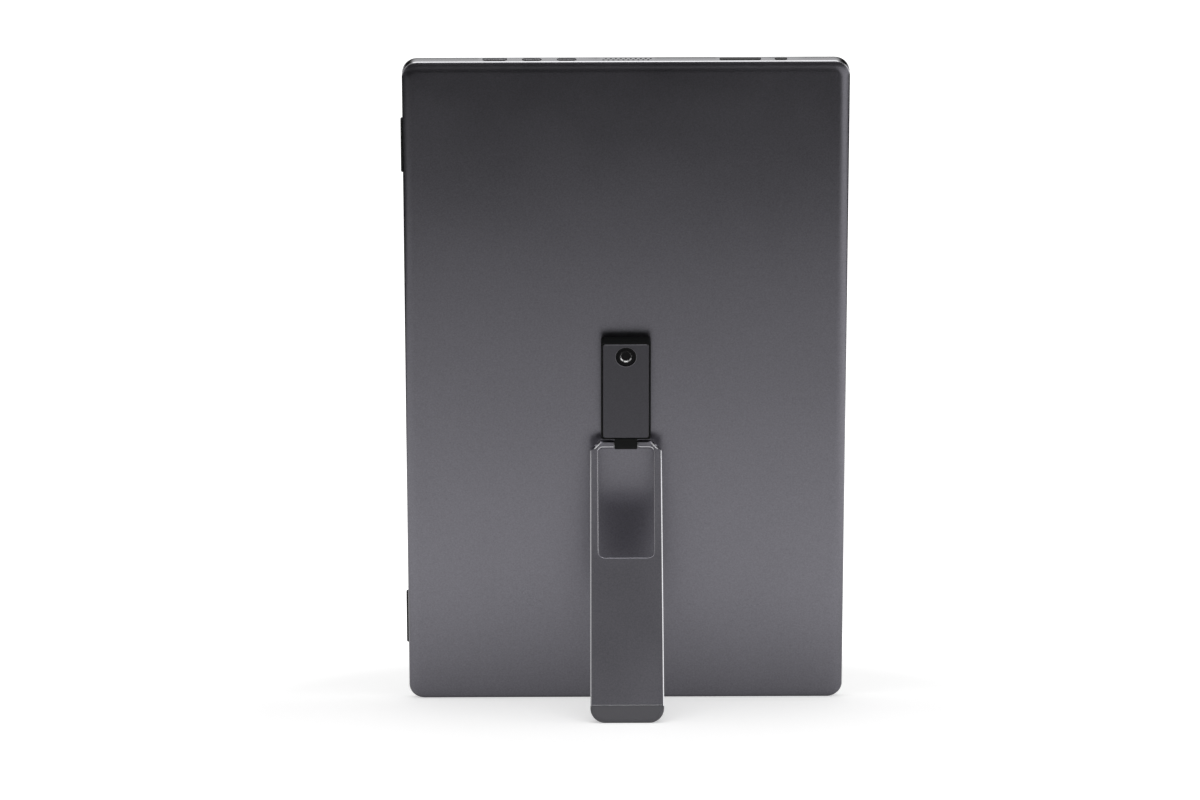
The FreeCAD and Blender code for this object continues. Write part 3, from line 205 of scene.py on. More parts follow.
def skin(name, grid, closed_path=True, closed_profile=False, bands=0, smooth=32):
    """Mesh of a profile carried along a path: grid[i, j] is profile point j at path point i.

    Neighbouring points make quads. Open ends are closed by one flat face each, in the first material. bands gives
    each strip between two profile points its material number, or each quad its own.
    """
    n, m = grid.shape[:2]
    index = np.arange(n * m).reshape(n, m)
    a = index if closed_path else index[:-1]
    b = np.roll(index, -1, 0) if closed_path else index[1:]
    if closed_profile:
        quads = np.stack([a, b, np.roll(b, -1, 1), np.roll(a, -1, 1)], -1)
    else:
        quads = np.stack([a[:, :-1], b[:, :-1], b[:, 1:], a[:, 1:]], -1)
    faces = quads.reshape(-1, 4).tolist()
    numbers = np.broadcast_to(np.asarray(bands), quads.shape[:2]).ravel().tolist()
    ends = []
    if closed_path and not closed_profile:
        ends = [index[:, 0].tolist(), index[::-1, -1].tolist()]
    if closed_profile and not closed_path:
        ends = [index[0].tolist(), index[-1, ::-1].tolist()]
    return finish_mesh(name, grid.reshape(-1, 3), faces + ends, numbers + [0] * len(ends), smooth)


def finish_mesh(name, points, faces, numbers, smooth):
    """Object at the origin from points and faces, with its normals outwards."""
    mesh = bpy.data.meshes.new(name)
    mesh.from_pydata(points.tolist(), [], faces)
    mesh.polygons.foreach_set("material_index", np.array(numbers, dtype=np.int32))
    work = bmesh.new()
    work.from_mesh(mesh)
    bmesh.ops.recalc_face_normals(work, faces=work.faces)
    work.to_mesh(mesh)
    work.free()
    shade_smooth(mesh, smooth)
    return place_object(name, mesh)


def shade_smooth(mesh, limit):
    """Smooth shading, with the edges that are sharper than an angle kept sharp."""
    mesh.polygons.foreach_set("use_smooth", np.ones(len(mesh.polygons), bool))
    mesh.set_sharp_from_angle(angle=math.radians(limit))


def place_object(name, data):
    """New object of the scene round a mesh, a lamp or a camera."""
    obj = bpy.data.objects.new(name, data)
    bpy.context.scene.collection.objects.link(obj)
    return obj


def remove_object(obj):
    """Takes an object and its mesh out of the file."""
    mesh = obj.data
    bpy.data.objects.remove(obj)
    bpy.data.meshes.remove(mesh)


def joined(name, objects):
    """One object from several whose places are in their meshes, with their materials kept."""
    work = bmesh.new()
    slots = []
    for obj in objects:
        for material in obj.data.materials:
            if material not in slots:
                slots.append(material)
        start = len(work.faces)
        work.from_mesh(obj.data)
        work.faces.ensure_lookup_table()
        for face in work.faces[start:]:
            if obj.data.materials:
                face.material_index = slots.index(obj.data.materials[face.material_index])
    mesh = bpy.data.meshes.new(name)
    work.to_mesh(mesh)
    work.free()
    for material in slots:
        mesh.materials.append(material)
    for obj in objects:
        remove_object(obj)
    return place_object(name, mesh)


def cut_out(piece, cutter, smooth=32):
    """Takes the cutter from the piece by an exact boolean, whose result becomes the piece's own mesh."""
    change = piece.modifiers.new("cut", "BOOLEAN")
    change.operation = "DIFFERENCE"
    change.solver = "EXACT"
    change.object = cutter
    graph = bpy.context.evaluated_depsgraph_get()
    mesh = bpy.data.meshes.new_from_object(piece.evaluated_get(graph))
    piece.modifiers.clear()
    old = piece.data
    mesh.name = old.name
    piece.data = mesh
    bpy.data.meshes.remove(old)
    remove_object(cutter)
    shade_smooth(mesh, smooth)


def dress(piece, body, materials, node):
    """Materials and body of a piece; the CAD node that it stands for is hidden."""
    for material in materials:
        piece.data.materials.append(material)
    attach(piece, body)
    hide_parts(node)


# Grain and refraction that all finishes share, and the colour of the screen's border
GRAIN_DEPTH = 0.00005
GRAIN_DETAIL, FINE_ROUGH, SLOW_ROUGH = 3.0, 0.65, 0.55
FINE_SHARE, SLOW_SHARE = 0.8, 0.2
FINISH_IOR = 1.45
BORDER_COLOUR = (0.003, 0.003, 0.0032, 1.0)


def group(name, inputs, outputs):
    """New shader node group with float inputs of given values, and float outputs."""
    tree = bpy.data.node_groups.new(name, "ShaderNodeTree")
    for label, value in inputs:
        tree.interface.new_socket(label, in_out="INPUT", socket_type="NodeSocketFloat").default_value = value
    for label in outputs:
        tree.interface.new_socket(label, in_out="OUTPUT", socket_type="NodeSocketFloat")
    return tree, tree.nodes.new("NodeGroupInput").outputs, tree.nodes.new("NodeGroupOutput").inputs


def math_node(tree, operation, a, b=None, clamp=False):
    """Math node whose inputs are sockets or plain numbers."""
    node = tree.nodes.new("ShaderNodeMath")
    node.operation = operation
    node.use_clamp = clamp
    for socket, value in zip(node.inputs, (a, b)):
        if isinstance(value, (int, float)):
            socket.default_value = value
        elif value is not None:
            tree.links.new(value, socket)
    return node.outputs[0]


def product(tree, a, b):
    """Product of two values."""
    return math_node(tree, "MULTIPLY", a, b)


def noise(tree, vector, scale, rough):
    """Noise value on given coordinates."""
    node = tree.nodes.new("ShaderNodeTexNoise")
    tree.links.new(vector, node.inputs["Vector"])
    tree.links.new(scale, node.inputs["Scale"])
    node.inputs["Detail"].default_value = GRAIN_DETAIL
    node.inputs["Roughness"].default_value = rough
    return node.outputs["Fac"]


def ramp(tree, value, low, high, start=0.0, stop=1.0):
    """Smooth step of a value between two limits, from one level to another."""
    node = tree.nodes.new("ShaderNodeMapRange")
    node.interpolation_type = "SMOOTHSTEP"
    tree.links.new(value, node.inputs["Value"])
    for label, number in (("From Min", low), ("From Max", high), ("To Min", start), ("To Max", stop)):
        node.inputs[label].default_value = number
    return node.outputs["Result"]


def parts_of(tree, vector):
    """The three parts of a vector."""
    node = tree.nodes.new("ShaderNodeSeparateXYZ")
    tree.links.new(vector, node.inputs[0])
    return node.outputs


def coordinates(tree, kind="Object"):
    """Coordinates of the shaded point."""
    return tree.nodes.new("ShaderNodeTexCoord").outputs[kind]


def new_material(name):
    """Material with a node tree, and that tree."""
    material = bpy.data.materials.new(name)
    material.use_nodes = True
    return material, material.node_tree


def make_grain_group():
    """Blasted or moulded grain: fine noise for height and tint, and slow noise for patches of gloss."""
    inputs = [("Grain scale", 3000.0), ("Patch scale", 18.0), ("Spread", 0.1)]
    tree, source, sink = group("surface_grain", inputs, ("Height", "Tint", "Patch"))
    place = coordinates(tree)
    fine = noise(tree, place, source["Grain scale"], FINE_ROUGH)
    slow = noise(tree, place, source["Patch scale"], SLOW_ROUGH)
    both = math_node(tree, "ADD", product(tree, fine, FINE_SHARE), product(tree, slow, SLOW_SHARE))
    swing = product(tree, math_node(tree, "SUBTRACT", both, 0.5), source["Spread"])
    tree.links.new(fine, sink["Height"])
    tree.links.new(math_node(tree, "ADD", swing, 1.0), sink["Tint"])
    tree.links.new(math_node(tree, "SUBTRACT", slow, 0.5), sink["Patch"])
    return tree


def make_screen_group():
    """Mask of the screen's active area: one inside a rectangle of the panel's own plane, with soft edges."""
    tree, source, sink = group("screen_area", SCREEN_SIDES, ("Mask",))
    flat = tree.nodes.new("ShaderNodeMapping")
    back = Matrix.Rotation(-math.atan2(INWARD[2], INWARD[1]), 3, "X")
    flat.inputs["Rotation"].default_value = back.to_euler()
    flat.inputs["Location"].default_value = Vector((0, 0, SWIVEL_Z * MM)) - back @ Vector(PIVOT)
    tree.links.new(coordinates(tree), flat.inputs["Vector"])
    across, _, height = parts_of(tree, flat.outputs["Vector"])
    nearest = math_node(tree, "SUBTRACT", across, source["Left"])
    for high, low in ((source["Right"], across), (height, source["Below"]), (source["Above"], height)):
        nearest = math_node(tree, "MINIMUM", nearest, math_node(tree, "SUBTRACT", high, low))
    tree.links.new(ramp(tree, nearest, -SCREEN_BLUR, SCREEN_BLUR), sink["Mask"])
    return tree


GRAIN = make_grain_group()
SCREEN = make_screen_group()


def finish_look(name, colour, metallic, rough, grain, patch=18.0, spread=0.12, bump=0.05, rough_swing=0.12,
                specular=0.5):
    """Material whose colour, roughness and height vary with the shared grain, round the given middle values."""
    material, tree = new_material(name)
    shader = tree.nodes["Principled BSDF"]
    shader.inputs["Metallic"].default_value = metallic
    shader.inputs["IOR"].default_value = FINISH_IOR
    shader.inputs["Specular IOR Level"].default_value = specular
    node = tree.nodes.new("ShaderNodeGroup")
    node.node_tree = GRAIN
    for label, value in (("Grain scale", grain), ("Patch scale", patch), ("Spread", spread)):
        node.inputs[label].default_value = value
    paint = tree.nodes.new("ShaderNodeMix")
    paint.data_type = "RGBA"
    paint.blend_type = "MULTIPLY"
    paint.inputs["Factor"].default_value = 1.0
    paint.inputs[6].default_value = (*colour, 1.0)
    tree.links.new(node.outputs["Tint"], paint.inputs[7])
    tree.links.new(paint.outputs[2], shader.inputs["Base Color"])
    swing = product(tree, node.outputs["Patch"], rough_swing)
    tree.links.new(math_node(tree, "ADD", swing, rough, clamp=True), shader.inputs["Roughness"])
    relief = tree.nodes.new("ShaderNodeBump")
    relief.inputs["Strength"].default_value = bump
    relief.inputs["Distance"].default_value = GRAIN_DEPTH
    tree.links.new(node.outputs["Height"], relief.inputs["Height"])
    tree.links.new(relief.outputs["Normal"], shader.inputs["Normal"])
    return material


def metal(name, colour, rough, grain, **more):
    """Metal finish."""
    return finish_look(name, colour, 1.0, rough, grain, **more)


def plastic(name, colour, rough, grain, **more):
    """Plastic, rubber, film or cloth finish."""
    return finish_look(name, colour, 0.0, rough, grain, **more)


def screen_look():
    """Dark glass whose active area is a little lighter and bluer than its black border."""
    material = plastic("screen_glass", (0.02, 0.021, 0.024), 0.07, 900.0, patch=9.0, bump=0.0, rough_swing=0.06,
                       specular=0.6)
    tree = material.node_tree
    colour = tree.nodes["Principled BSDF"].inputs["Base Color"]
    node = tree.nodes.new("ShaderNodeGroup")
    node.node_tree = SCREEN
    mix = tree.nodes.new("ShaderNodeMix")
    mix.data_type = "RGBA"
    mix.inputs[6].default_value = BORDER_COLOUR
    tree.links.new(node.outputs["Mask"], mix.inputs["Factor"])
    tree.links.new(colour.links[0].from_socket, mix.inputs[7])
    tree.links.new(mix.outputs[2], colour)
    return material


POLISH = {"grain": 1500.0, "spread": 0.05, "bump": 0.05}
SHELL_LOOK = metal("dark_blasted_aluminium", (0.18, 0.176, 0.197), 0.3, 1300.0, spread=0.8, bump=0.25)
WALL_LOOK = metal("edge_aluminium", (0.46, 0.46, 0.475), 0.2, 2600.0, bump=0.1)
BEVEL_LOOK = metal("polished_bevel", (0.8, 0.8, 0.82), 0.2, **POLISH)
LINE_LOOK = metal("panel_bevel", (0.42, 0.42, 0.43), 0.2, **POLISH)
LEG_LOOK = metal("leg_aluminium", (0.27, 0.264, 0.296), 0.42, 1300.0, spread=0.7, bump=0.25)
PLATE_LOOK = metal("plate_aluminium", (0.088, 0.086, 0.096), 0.42, 1300.0, spread=0.5, bump=0.2)
PLATE_EDGE_LOOK = metal("plate_edge", (0.2, 0.197, 0.212), 0.3, 2600.0, bump=0.1)
LEG_EDGE_LOOK = metal("leg_window_edge", (0.55, 0.545, 0.57), 0.26, **POLISH)
BLOCK_LOOK = plastic("satin_black_plastic", (0.008, 0.0085, 0.0085), 0.45, 1800.0, bump=0.3, specular=0.15)
RING_LOOK = plastic("black_plated_ring", (0.006, 0.006, 0.0065), 0.35, 1800.0, bump=0.1, specular=0.15)
THREAD_LOOK = metal("bright_thread", (0.55, 0.55, 0.55), 0.16, 1200.0, bump=0.1)
KEY_LOOK = plastic("key_black_plastic", (0.016, 0.016, 0.017), 0.38, 2000.0, bump=0.2)
FRAME_LOOK = plastic("frame_black_plastic", (0.014, 0.014, 0.015), 0.45, 1600.0, bump=0.3)
RUBBER_LOOK = plastic("black_rubber", (0.017, 0.017, 0.018), 0.7, 1400.0, bump=0.5)
PAD_LOOK = plastic("grey_rubber", (0.135, 0.133, 0.146), 0.62, 1600.0, bump=0.4)
SOCKET_LOOK = metal("pressed_socket_steel", (0.42, 0.42, 0.43), 0.34, 900.0, bump=0.1)
CONTACT_LOOK = metal("contact_gold", (0.78, 0.55, 0.22), 0.28, 900.0, bump=0.1)
TONGUE_LOOK = plastic("tongue_plastic", (0.02, 0.02, 0.021), 0.5, 1500.0, bump=0.2)
GLASS_LOOK = screen_look()


def rear_shell():
    """Aluminium tray: a profile carried round the panel's rounded outline.

    From the middle of the back, the profile runs over the flat ring and the back's edge arc, down a bevel of two
    steps, of which the lower is polished, along the wall to a small round at the rim, over the rim and down the
    inside wall. Each profile point draws the outline in by its inset, so the outline's corner radius shrinks by the
    same amount. Flat faces close the back outside and inside.
    """
    radius = (CURVE_W ** 2 + CURVE_D ** 2) / (2 * CURVE_D)
    reach = math.degrees(math.asin(CURVE_W / radius))
    edge = BEVEL + CURVE_W
    ring = [[edge + SHELL_RING, 0.0]]
    curve = np.concatenate([ring, arc_rows((edge, radius), radius, -90, -90 - reach, steps=14)])
    bevel = [[BEVEL / 2, CURVE_D + BEVEL / 3], [0.0, CURVE_D + BEVEL]]
    rim = arc_rows((RIM_R, SHELL_DEPTH - RIM_R), RIM_R, 180, 90, steps=5)
    rows = np.concatenate([curve, bevel, rim, [[SIDE_WALL, SHELL_DEPTH], [SIDE_WALL, BACK_WALL]]])
    bands = np.zeros(len(rows) - 1, int)
    bands[len(curve)] = 2
    bands[len(curve) + 1:-1] = 1
    shell = skin("rear_shell_skin", panel_grid(rows, PANEL_CORNER - rows[:, 0], arc=18, run=14), bands=bands)
    dress(shell, "display", (SHELL_LOOK, WALL_LOOK, LINE_LOOK), "rear_shell")
    cut_out(shell, joined("edge_cutters", edge_cutters()))


def prism(name, loop, low, high):
    """Straight prism through the upper edge: an outline in across and depth, carried between two heights."""
    return skin(name, on_panel(loop[:, None, 0], loop[:, None, 1], np.array([low, high])))


def video_loop(grow):
    """Outline of the wide socket: a rectangle with two bevelled corners, each side cut into equal steps."""
    w, h, b = VIDEO_HALF_W + grow, VIDEO_HALF_H + grow, VIDEO_BEVEL
    corners = np.array([(w, h), (-w, h), (-w, -h + b), (-w + b, -h), (w - b, -h), (w, -h + b)])
    sides = zip(corners, np.roll(corners, -1, 0))
    loop = np.concatenate([between(start, end, count=4) for start, end in sides])
    return loop + np.array([VIDEO_X, PORT_Y])


def data_loop(x, grow):
    """Outline of a small socket: a pill, which is a rounded rectangle whose corners are half its height."""
    loop = rounded_loop(DATA_W + 2 * grow, DATA_H + 2 * grow, DATA_H / 2 + grow, arc=10, run=6)
    return loop + np.array([x, PORT_Y])


def key_loop(x, width, height, corner):
    """Outline of a key or its slot: a rounded rectangle."""
    return rounded_loop(width, height, corner, arc=8, run=6) + np.array([x, PORT_Y])


def edge_cutters():
    """Prisms for the sockets and the keys, and round ones in two staggered rows for the grille."""
    low, high = PANEL_H - 2 * SIDE_WALL, PANEL_H + SIDE_WALL
    cutters = [prism("cut_video", video_loop(PORT_FIT), low, high)]
    cutters += [prism("cut_data", data_loop(x, PORT_FIT), low, high) for x in DATA_XS]
    for x, width in ((ROCKER_X, ROCKER_W), (POWER_X, POWER_W)):
        cutters.append(prism("cut_key", key_loop(x, width, KEY_H, KEY_SLOT_CORNER), low, high))
    ring = circle(GRILLE_R, count=16)
    for index in range(GRILLE_N):
        for row in (-1, 1):
            x = GRILLE_X + (index - (GRILLE_N - 1) / 2) * GRILLE_PITCH + row * GRILLE_PITCH / 4
            cutters.append(prism("cut_hole", ring + np.array([x, PORT_Y + row * GRILLE_GAP / 2]), low, high))
    return cutters


def front_frame():
    """Black frame: a closed profile with a rounded outer edge and a ledge for the glass, carried round the panel."""
    inset, border, front, fit = FRAME_INSET, FRAME_BORDER, FRAME_FRONT, SIDE_WALL + FRAME_FIT
    rows = np.concatenate([
        [[inset, SHELL_DEPTH]], arc_rows((inset + FRAME_R, front - FRAME_R), FRAME_R, 180, 90, steps=6),
        [[border - FRAME_CHAMFER, front], [border, front - FRAME_CHAMFER], [border, FRAME_LEDGE],
         [FRAME_LIP, FRAME_LEDGE], [FRAME_LIP, FRAME_BACK], [fit, FRAME_BACK], [fit, SHELL_DEPTH]]])
    in_window = rows[:, 0] >= border - FRAME_CHAMFER
    corners = np.where(in_window, GLASS_CORNER, PANEL_CORNER - rows[:, 0])
    piece = skin("front_frame_skin", panel_grid(rows, corners, arc=14, run=10), closed_profile=True)
    dress(piece, "display", (FRAME_LOOK,), "front_frame")


def cover_glass():
    """Front glass: a flat plate whose front edge is a quarter round."""
    edge = arc_rows((GLASS_INSET + GLASS_R, GLASS_FRONT - GLASS_R), GLASS_R, 180, 90, steps=6)
    ring = GLASS_INSET + GLASS_R + GLASS_RING
    rows = np.concatenate([[[GLASS_INSET, GLASS_BACK]], edge, [[ring, GLASS_FRONT]]])
    corners = GLASS_CORNER + GLASS_INSET - rows[:, 0]
    glass = skin("cover_glass_skin", panel_grid(rows, corners, arc=14, run=10))
    dress(glass, "display", (GLASS_LOOK,), "cover_glass")


def tube(name, outer, inner, low, floor, high):
    """Open socket shell: outside wall, a rounded lip between the two outlines, inside wall and a floor."""
    turn = np.linspace(0, np.pi, 7)
    middle, half = (outer + inner) / 2, (outer - inner) / 2
    lip = middle[:, None] + half[:, None] * np.cos(turn)[None, :, None]
    plan = np.concatenate([outer[:, None], lip, inner[:, None]], 1)
    heights = np.concatenate([[low], high - SOCKET_LIP + SOCKET_LIP * np.sin(turn), [floor]])
    return skin(name, on_panel(plan[..., 0], plan[..., 1], heights))


def soft_box(name, middle, size, low, high, edge, ease=0.3, least=0.2):
    """Small block with rounded long edges: a rounded rectangle carried from end to end, drawn in at both ends.

    ease is the share of the edge at which an end is half drawn in, and least the smallest corner as a share of it.
    """
    grow = edge * np.array([-1.0, -ease, 0.0, 0.0, -ease, -1.0])
    rise = np.array([low, low + ease * edge, low + edge, high - edge, high - ease * edge, high])
    loops = np.stack([rounded_loop(size[0] + 2 * g, size[1] + 2 * g, max(edge + g, edge * least), arc=4, run=2)
                      for g in grow], 1)
    return skin(name, on_panel(loops[..., 0] + middle[0], loops[..., 1] + middle[1], rise))


def socket(node, outer, inner, x, tongue):
    """Socket shell with its contact tongue and a row of gold contacts on each side of the tongue."""
    width, count, pitch = tongue
    mouth = PANEL_H - SOCKET_SINK
    end = mouth - SOCKET_LENGTH
    shell = tube(node + "_shell", outer, inner, end, end + SOCKET_FLOOR, mouth)
    shell.data.materials.append(SOCKET_LOOK)
    board = soft_box(node + "_tongue", (x, PORT_Y), (width, TONGUE_T), end + TONGUE_START, mouth - TONGUE_SHORT,
                     TONGUE_R)
    board.data.materials.append(TONGUE_LOOK)
    parts = [shell, board]
    for side in (-1, 1):
        for index in range(count):
            middle = (x + (index - (count - 1) / 2) * pitch, PORT_Y + side * CONTACT_OFF)
            contact = soft_box("pin", middle, CONTACT_SIZE, end + CONTACT_START, mouth - CONTACT_SHORT, CONTACT_R)
            contact.data.materials.append(CONTACT_LOOK)
            parts.append(contact)
    dress(joined(node + "_dressed", parts), "display", (), node)


def key(name, node, body, x, width):
    """Key cap: a rounded outline carried up to a small round and a faintly domed top."""
    insets, rises = round_edge(KEY_R)
    insets = np.concatenate([[0.0], insets, [KEY_R + KEY_RING]])
    top = PANEL_H + KEY_PROUD
    heights = np.concatenate([[PANEL_H - KEY_DEEP], top - KEY_DOME - KEY_R + rises, [top]])
    loops = np.stack([key_loop(x, width - 2 * (KEY_FIT + inset), KEY_H - 2 * (KEY_FIT + inset),
                               max(KEY_CORNER - inset, KEY_LEAST_CORNER)) for inset in insets], 1)
    cap = skin(name, on_panel(loops[..., 0], loops[..., 1], heights))
    dress(cap, body, (KEY_LOOK,), node)


def edge_foot(name, node, z):
    """Rubber foot on the long edge: a pill carried outwards to a rounded sole."""
    insets, rises = round_edge(FOOT_R)
    insets = np.concatenate([[0.0], insets, [FOOT_R + FOOT_RING]])
    out = np.concatenate([[-FOOT_SINK], FOOT_PROUD - FOOT_R + rises, [FOOT_PROUD]])
    loops = np.stack([rounded_loop(FOOT_W - 2 * inset, FOOT_L - 2 * inset, FOOT_W / 2 - inset, arc=10, run=8)
                      for inset in insets], 1)
    grid = on_panel(-PANEL_W / 2 - out, loops[..., 0] + FOOT_Y, loops[..., 1] + z)
    dress(skin(name, grid), "display", (RUBBER_LOOK,), node)


def stand_block():
    """Black block: a rounded outline carried out from the panel, with softened edges and the plate's pocket.

    The hinge's knuckle hangs on its lower end: a half ellipse with straight sides up into the block, carried across
    and drawn in a little at both ends.
    """
    insets, rises = round_edge(BLOCK_R, steps=6)
    insets = np.concatenate([[BLOCK_CHAMFER, 0.0], insets, [POCKET_INSET, POCKET_INSET + POCKET_DRAFT]])
    heights = np.concatenate([[BLOCK_LIFT, BLOCK_LIFT + BLOCK_CHAMFER], BLOCK_H - BLOCK_R + rises,
                              [BLOCK_H, BLOCK_H - POCKET_DEPTH]])
    body = skin("block_body", block_grid(insets, heights, BLOCK_CORNER - BLOCK_CORNER_SHARE * insets))
    turn = np.radians(np.linspace(180, 360, 25))
    lower = np.stack([KNUCKLE_DEEP * np.cos(turn), KNUCKLE_DROP * np.sin(turn)], 1)
    profile = np.concatenate([[[-KNUCKLE_DEEP, KNUCKLE_RISE]], lower, [[KNUCKLE_DEEP, KNUCKLE_RISE]]])
    near = KNUCKLE_HALF - KNUCKLE_CHAMFER
    ends = np.array([[-KNUCKLE_HALF], [-near], [near], [KNUCKLE_HALF]])
    size = 1 - np.array([[1.0], [0.0], [0.0], [1.0]]) * KNUCKLE_CHAMFER / KNUCKLE_DEEP
    y = HINGE_Y + profile[:, 0] * size
    z = HINGE_Z + profile[:, 1] * np.where(profile[:, 1] < KNUCKLE_RISE, size, 1.0)
    knuckle = skin("block_knuckle", on_panel(ends, y, z), closed_path=False, closed_profile=True)
    for part in (body, knuckle):
        part.data.materials.append(BLOCK_LOOK)
    dress(joined("stand_block_skin", [body, knuckle]), "stand_head", (), "stand_block")


def face_plate():
    """Grey plate in the block: a rounded outline with a narrow bright bevel, and a round hole for the bush."""
    insets = np.array([0.0, 0.0, PLATE_BEVEL])
    heights = np.array([BLOCK_H - POCKET_DEPTH, BLOCK_H - PLATE_BEVEL, BLOCK_H])
    plate = skin("face_plate_skin", block_grid(PLATE_INSET + insets, heights, PLATE_CORNER - insets), bands=[0, 1],
                 smooth=25)
    dress(plate, "stand_head", (PLATE_LOOK, PLATE_EDGE_LOOK), "block_face_plate")
    ring = circle(PLATE_HOLE, count=64)
    through = np.array([BLOCK_H - 2 * POCKET_DEPTH, BLOCK_H + POCKET_DEPTH])
    hole = on_panel(ring[:, None, 0], -through, ring[:, None, 1] + BUSH_Z)
    cut_out(plate, skin("cut_bush", hole), smooth=25)


def tripod_bush():
    """Threaded bush: a profile turned round its axis, whose bore radius follows a helix.

    The bore's radius is the thread's inner radius plus its height times a triangle wave of depth over pitch less the
    angle's share of a turn. The cone at the mouth and the thread are bright, and so is the rim round the flange.
    """
    angle = np.linspace(0, 2 * np.pi, BUSH_SIDES, endpoint=False)[:, None]
    depth = np.linspace(THREAD_START, THREAD_STOP, THREAD_ROWS)
    wave = np.abs((depth / THREAD_PITCH - angle / (2 * np.pi)) % 1.0 * 2 - 1)
    turned = np.broadcast_to(BUSH_PROFILE[:, 0], (BUSH_SIDES, len(BUSH_PROFILE)))
    radius = np.concatenate([turned, THREAD_R + THREAD_HEIGHT * wave], 1)
    height = BLOCK_H + np.concatenate([BUSH_PROFILE[:, 1], -depth])
    bands = np.ones(len(height) - 1, int)
    bands[:len(BUSH_PROFILE) - 2] = 0
    bands[BUSH_RIM] = 2
    grid = on_panel(radius * np.cos(angle), -height, radius * np.sin(angle) + BUSH_Z)
    bush = skin("tripod_bush_skin", grid, bands=bands, smooth=25)
    dress(bush, "stand_head", (RING_LOOK, THREAD_LOOK, PLATE_EDGE_LOOK), "tripod_bush")


def leg_half(reach):
    """Half the leg's width: a straight taper from the ears' ends to the pad's seam."""
    return LEG_TOP_HALF + (LEG_FOOT_HALF - LEG_TOP_HALF) * (reach + EAR_R) / (LEG_END + EAR_R)


def leg_paths():
    """Outer and inner edge of the leg's frame, sampled alike, from one ear's end round the foot to the other.

    Both are polylines whose stretches pair up: ear, upper corner, side and foot outside; ear, window corner, window
    side, lower corner and window end inside. The second half mirrors the first. With them go two weights for each
    point: of the ear's half circle, and of the upper corner's slanted face.
    """
    near_r, far_r = WINDOW_CORNERS
    turn = np.radians(np.linspace(0, 90, 9))
    upper = np.stack([near_r - WINDOW_HALF - near_r * np.sin(turn), EAR_R + near_r - near_r * np.cos(turn)], 1)
    lower = np.stack([far_r - WINDOW_HALF - far_r * np.cos(turn), WINDOW_FAR - far_r + far_r * np.sin(turn)], 1)
    inner = np.concatenate([between((-EAR_INNER, EAR_R), upper[0], 5), upper[:-1], between(upper[-1], lower[0], 12),
                            lower[:-1], between(lower[-1], (0.0, WINDOW_FAR), 6)])
    knee = (KNEE_INSET - leg_half(-EAR_R), -EAR_R)
    shoulder = np.array([-leg_half(CORNER_REACH), CORNER_REACH])
    before = shoulder + SHOULDER * np.array([math.sqrt(0.5), -math.sqrt(0.5)])
    after = np.array([-leg_half(CORNER_REACH + SHOULDER), CORNER_REACH + SHOULDER])
    share = np.linspace(0, 1, 5)[:-1, None]
    bend = (1 - share) ** 2 * before + 2 * share * (1 - share) * shoulder + share ** 2 * after
    foot = leg_half(LEG_END)
    heel, instep = (-foot, LEG_END), (-INSTEP * foot, LEG_END)
    outer = np.concatenate([between((-EAR_INNER, -EAR_R), knee, 5), between(knee, before, 4), bend,
                            between(after, heel, 12), between(heel, instep, 8), between(instep, (0.0, LEG_END), 6)])
    weight, slope = np.zeros((2, len(outer)))
    weight[:6] = (1.0, 1.0, 1.0, 1.0, 1.0, 0.9)
    slope[5:13] = (0.2, 1.0, 1.0, 1.0, 1.0, 0.7, 0.4, 0.15)
    weight, slope = (np.concatenate([half, [0.0], half[::-1]]) for half in (weight, slope))
    return mirrored(outer, (0.0, LEG_END)), mirrored(inner, (0.0, WINDOW_FAR)), weight, slope


def leg_frame():
    """Metal leg: a closed profile carried from one hinge ear round the foot to the other ear.

    Across the path, the profile goes round the leg's thickness: back face, outer side, bright bevel, front face,
    then a narrow facet, a bevel and the wall of the window. Along the ears the outer side is a half circle round the
    pin instead of flat, and at the upper corners it slopes in towards the front, so that the pin's bore opens in a
    slanted face under a wider and shallower bevel.
    """
    outer, inner, weight, slope = leg_paths()
    half, count = LEG_T / 2, SIDE_ROWS
    angle = np.radians(np.linspace(-90, 90, count))
    share = np.linspace(0, 1, count - 1)
    w, turned = weight[:, None], slope[:, None]
    flat_out = np.concatenate([(LEG_T - LEG_BEVEL + CORNER_SHALLOWER * turned) * share - half,
                               np.full_like(turned, half)], 1)
    flat_in = np.concatenate([np.zeros((len(outer), count - 1)), LEG_BEVEL + CORNER_WIDER * turned], 1)
    side_out = w * half * np.sin(angle) + (1 - w) * flat_out
    side_in = w * half * (1 - np.cos(angle)) + (1 - w) * flat_in + turned * CORNER_SLOPE * np.append(share, 1.0)
    outer_rows = outer[:, None] + side_normals(outer, inner - outer)[:, None] * side_in[..., None]
    inward = side_normals(inner, outer - inner)
    inner_rows = np.stack([inner + inward * (WINDOW_BEVEL + WINDOW_FACET_W), inner + inward * WINDOW_BEVEL, inner,
                           inner], 1)
    inner_out = [half, half - WINDOW_FACET_D, half - WINDOW_FACET_D - WINDOW_BEVEL, -half]
    plan = np.concatenate([outer_rows, inner_rows], 1)
    out = np.concatenate([side_out, np.broadcast_to(inner_out, (len(inner), len(inner_out)))], 1)
    bands = np.zeros((len(outer) - 1, out.shape[1]), int)
    bands[:, count - 2] = weight[1:] + weight[:-1] < 1.0
    bands[:, count + 1] = 2
    leg = skin("leg_frame_skin", on_leg(plan[..., 0], out, plan[..., 1]), closed_path=False, closed_profile=True,
               bands=bands, smooth=18)
    dress(leg, "leg", (LEG_LOOK, BEVEL_LOOK, LEG_EDGE_LOOK), "leg_frame")
    bore = circle(HINGE_BORE, count=32)
    through = np.array([-BORE_REACH, BORE_REACH])
    cut_out(leg, skin("cut_pin", on_leg(through, bore[:, None, 0], bore[:, None, 1])), smooth=18)


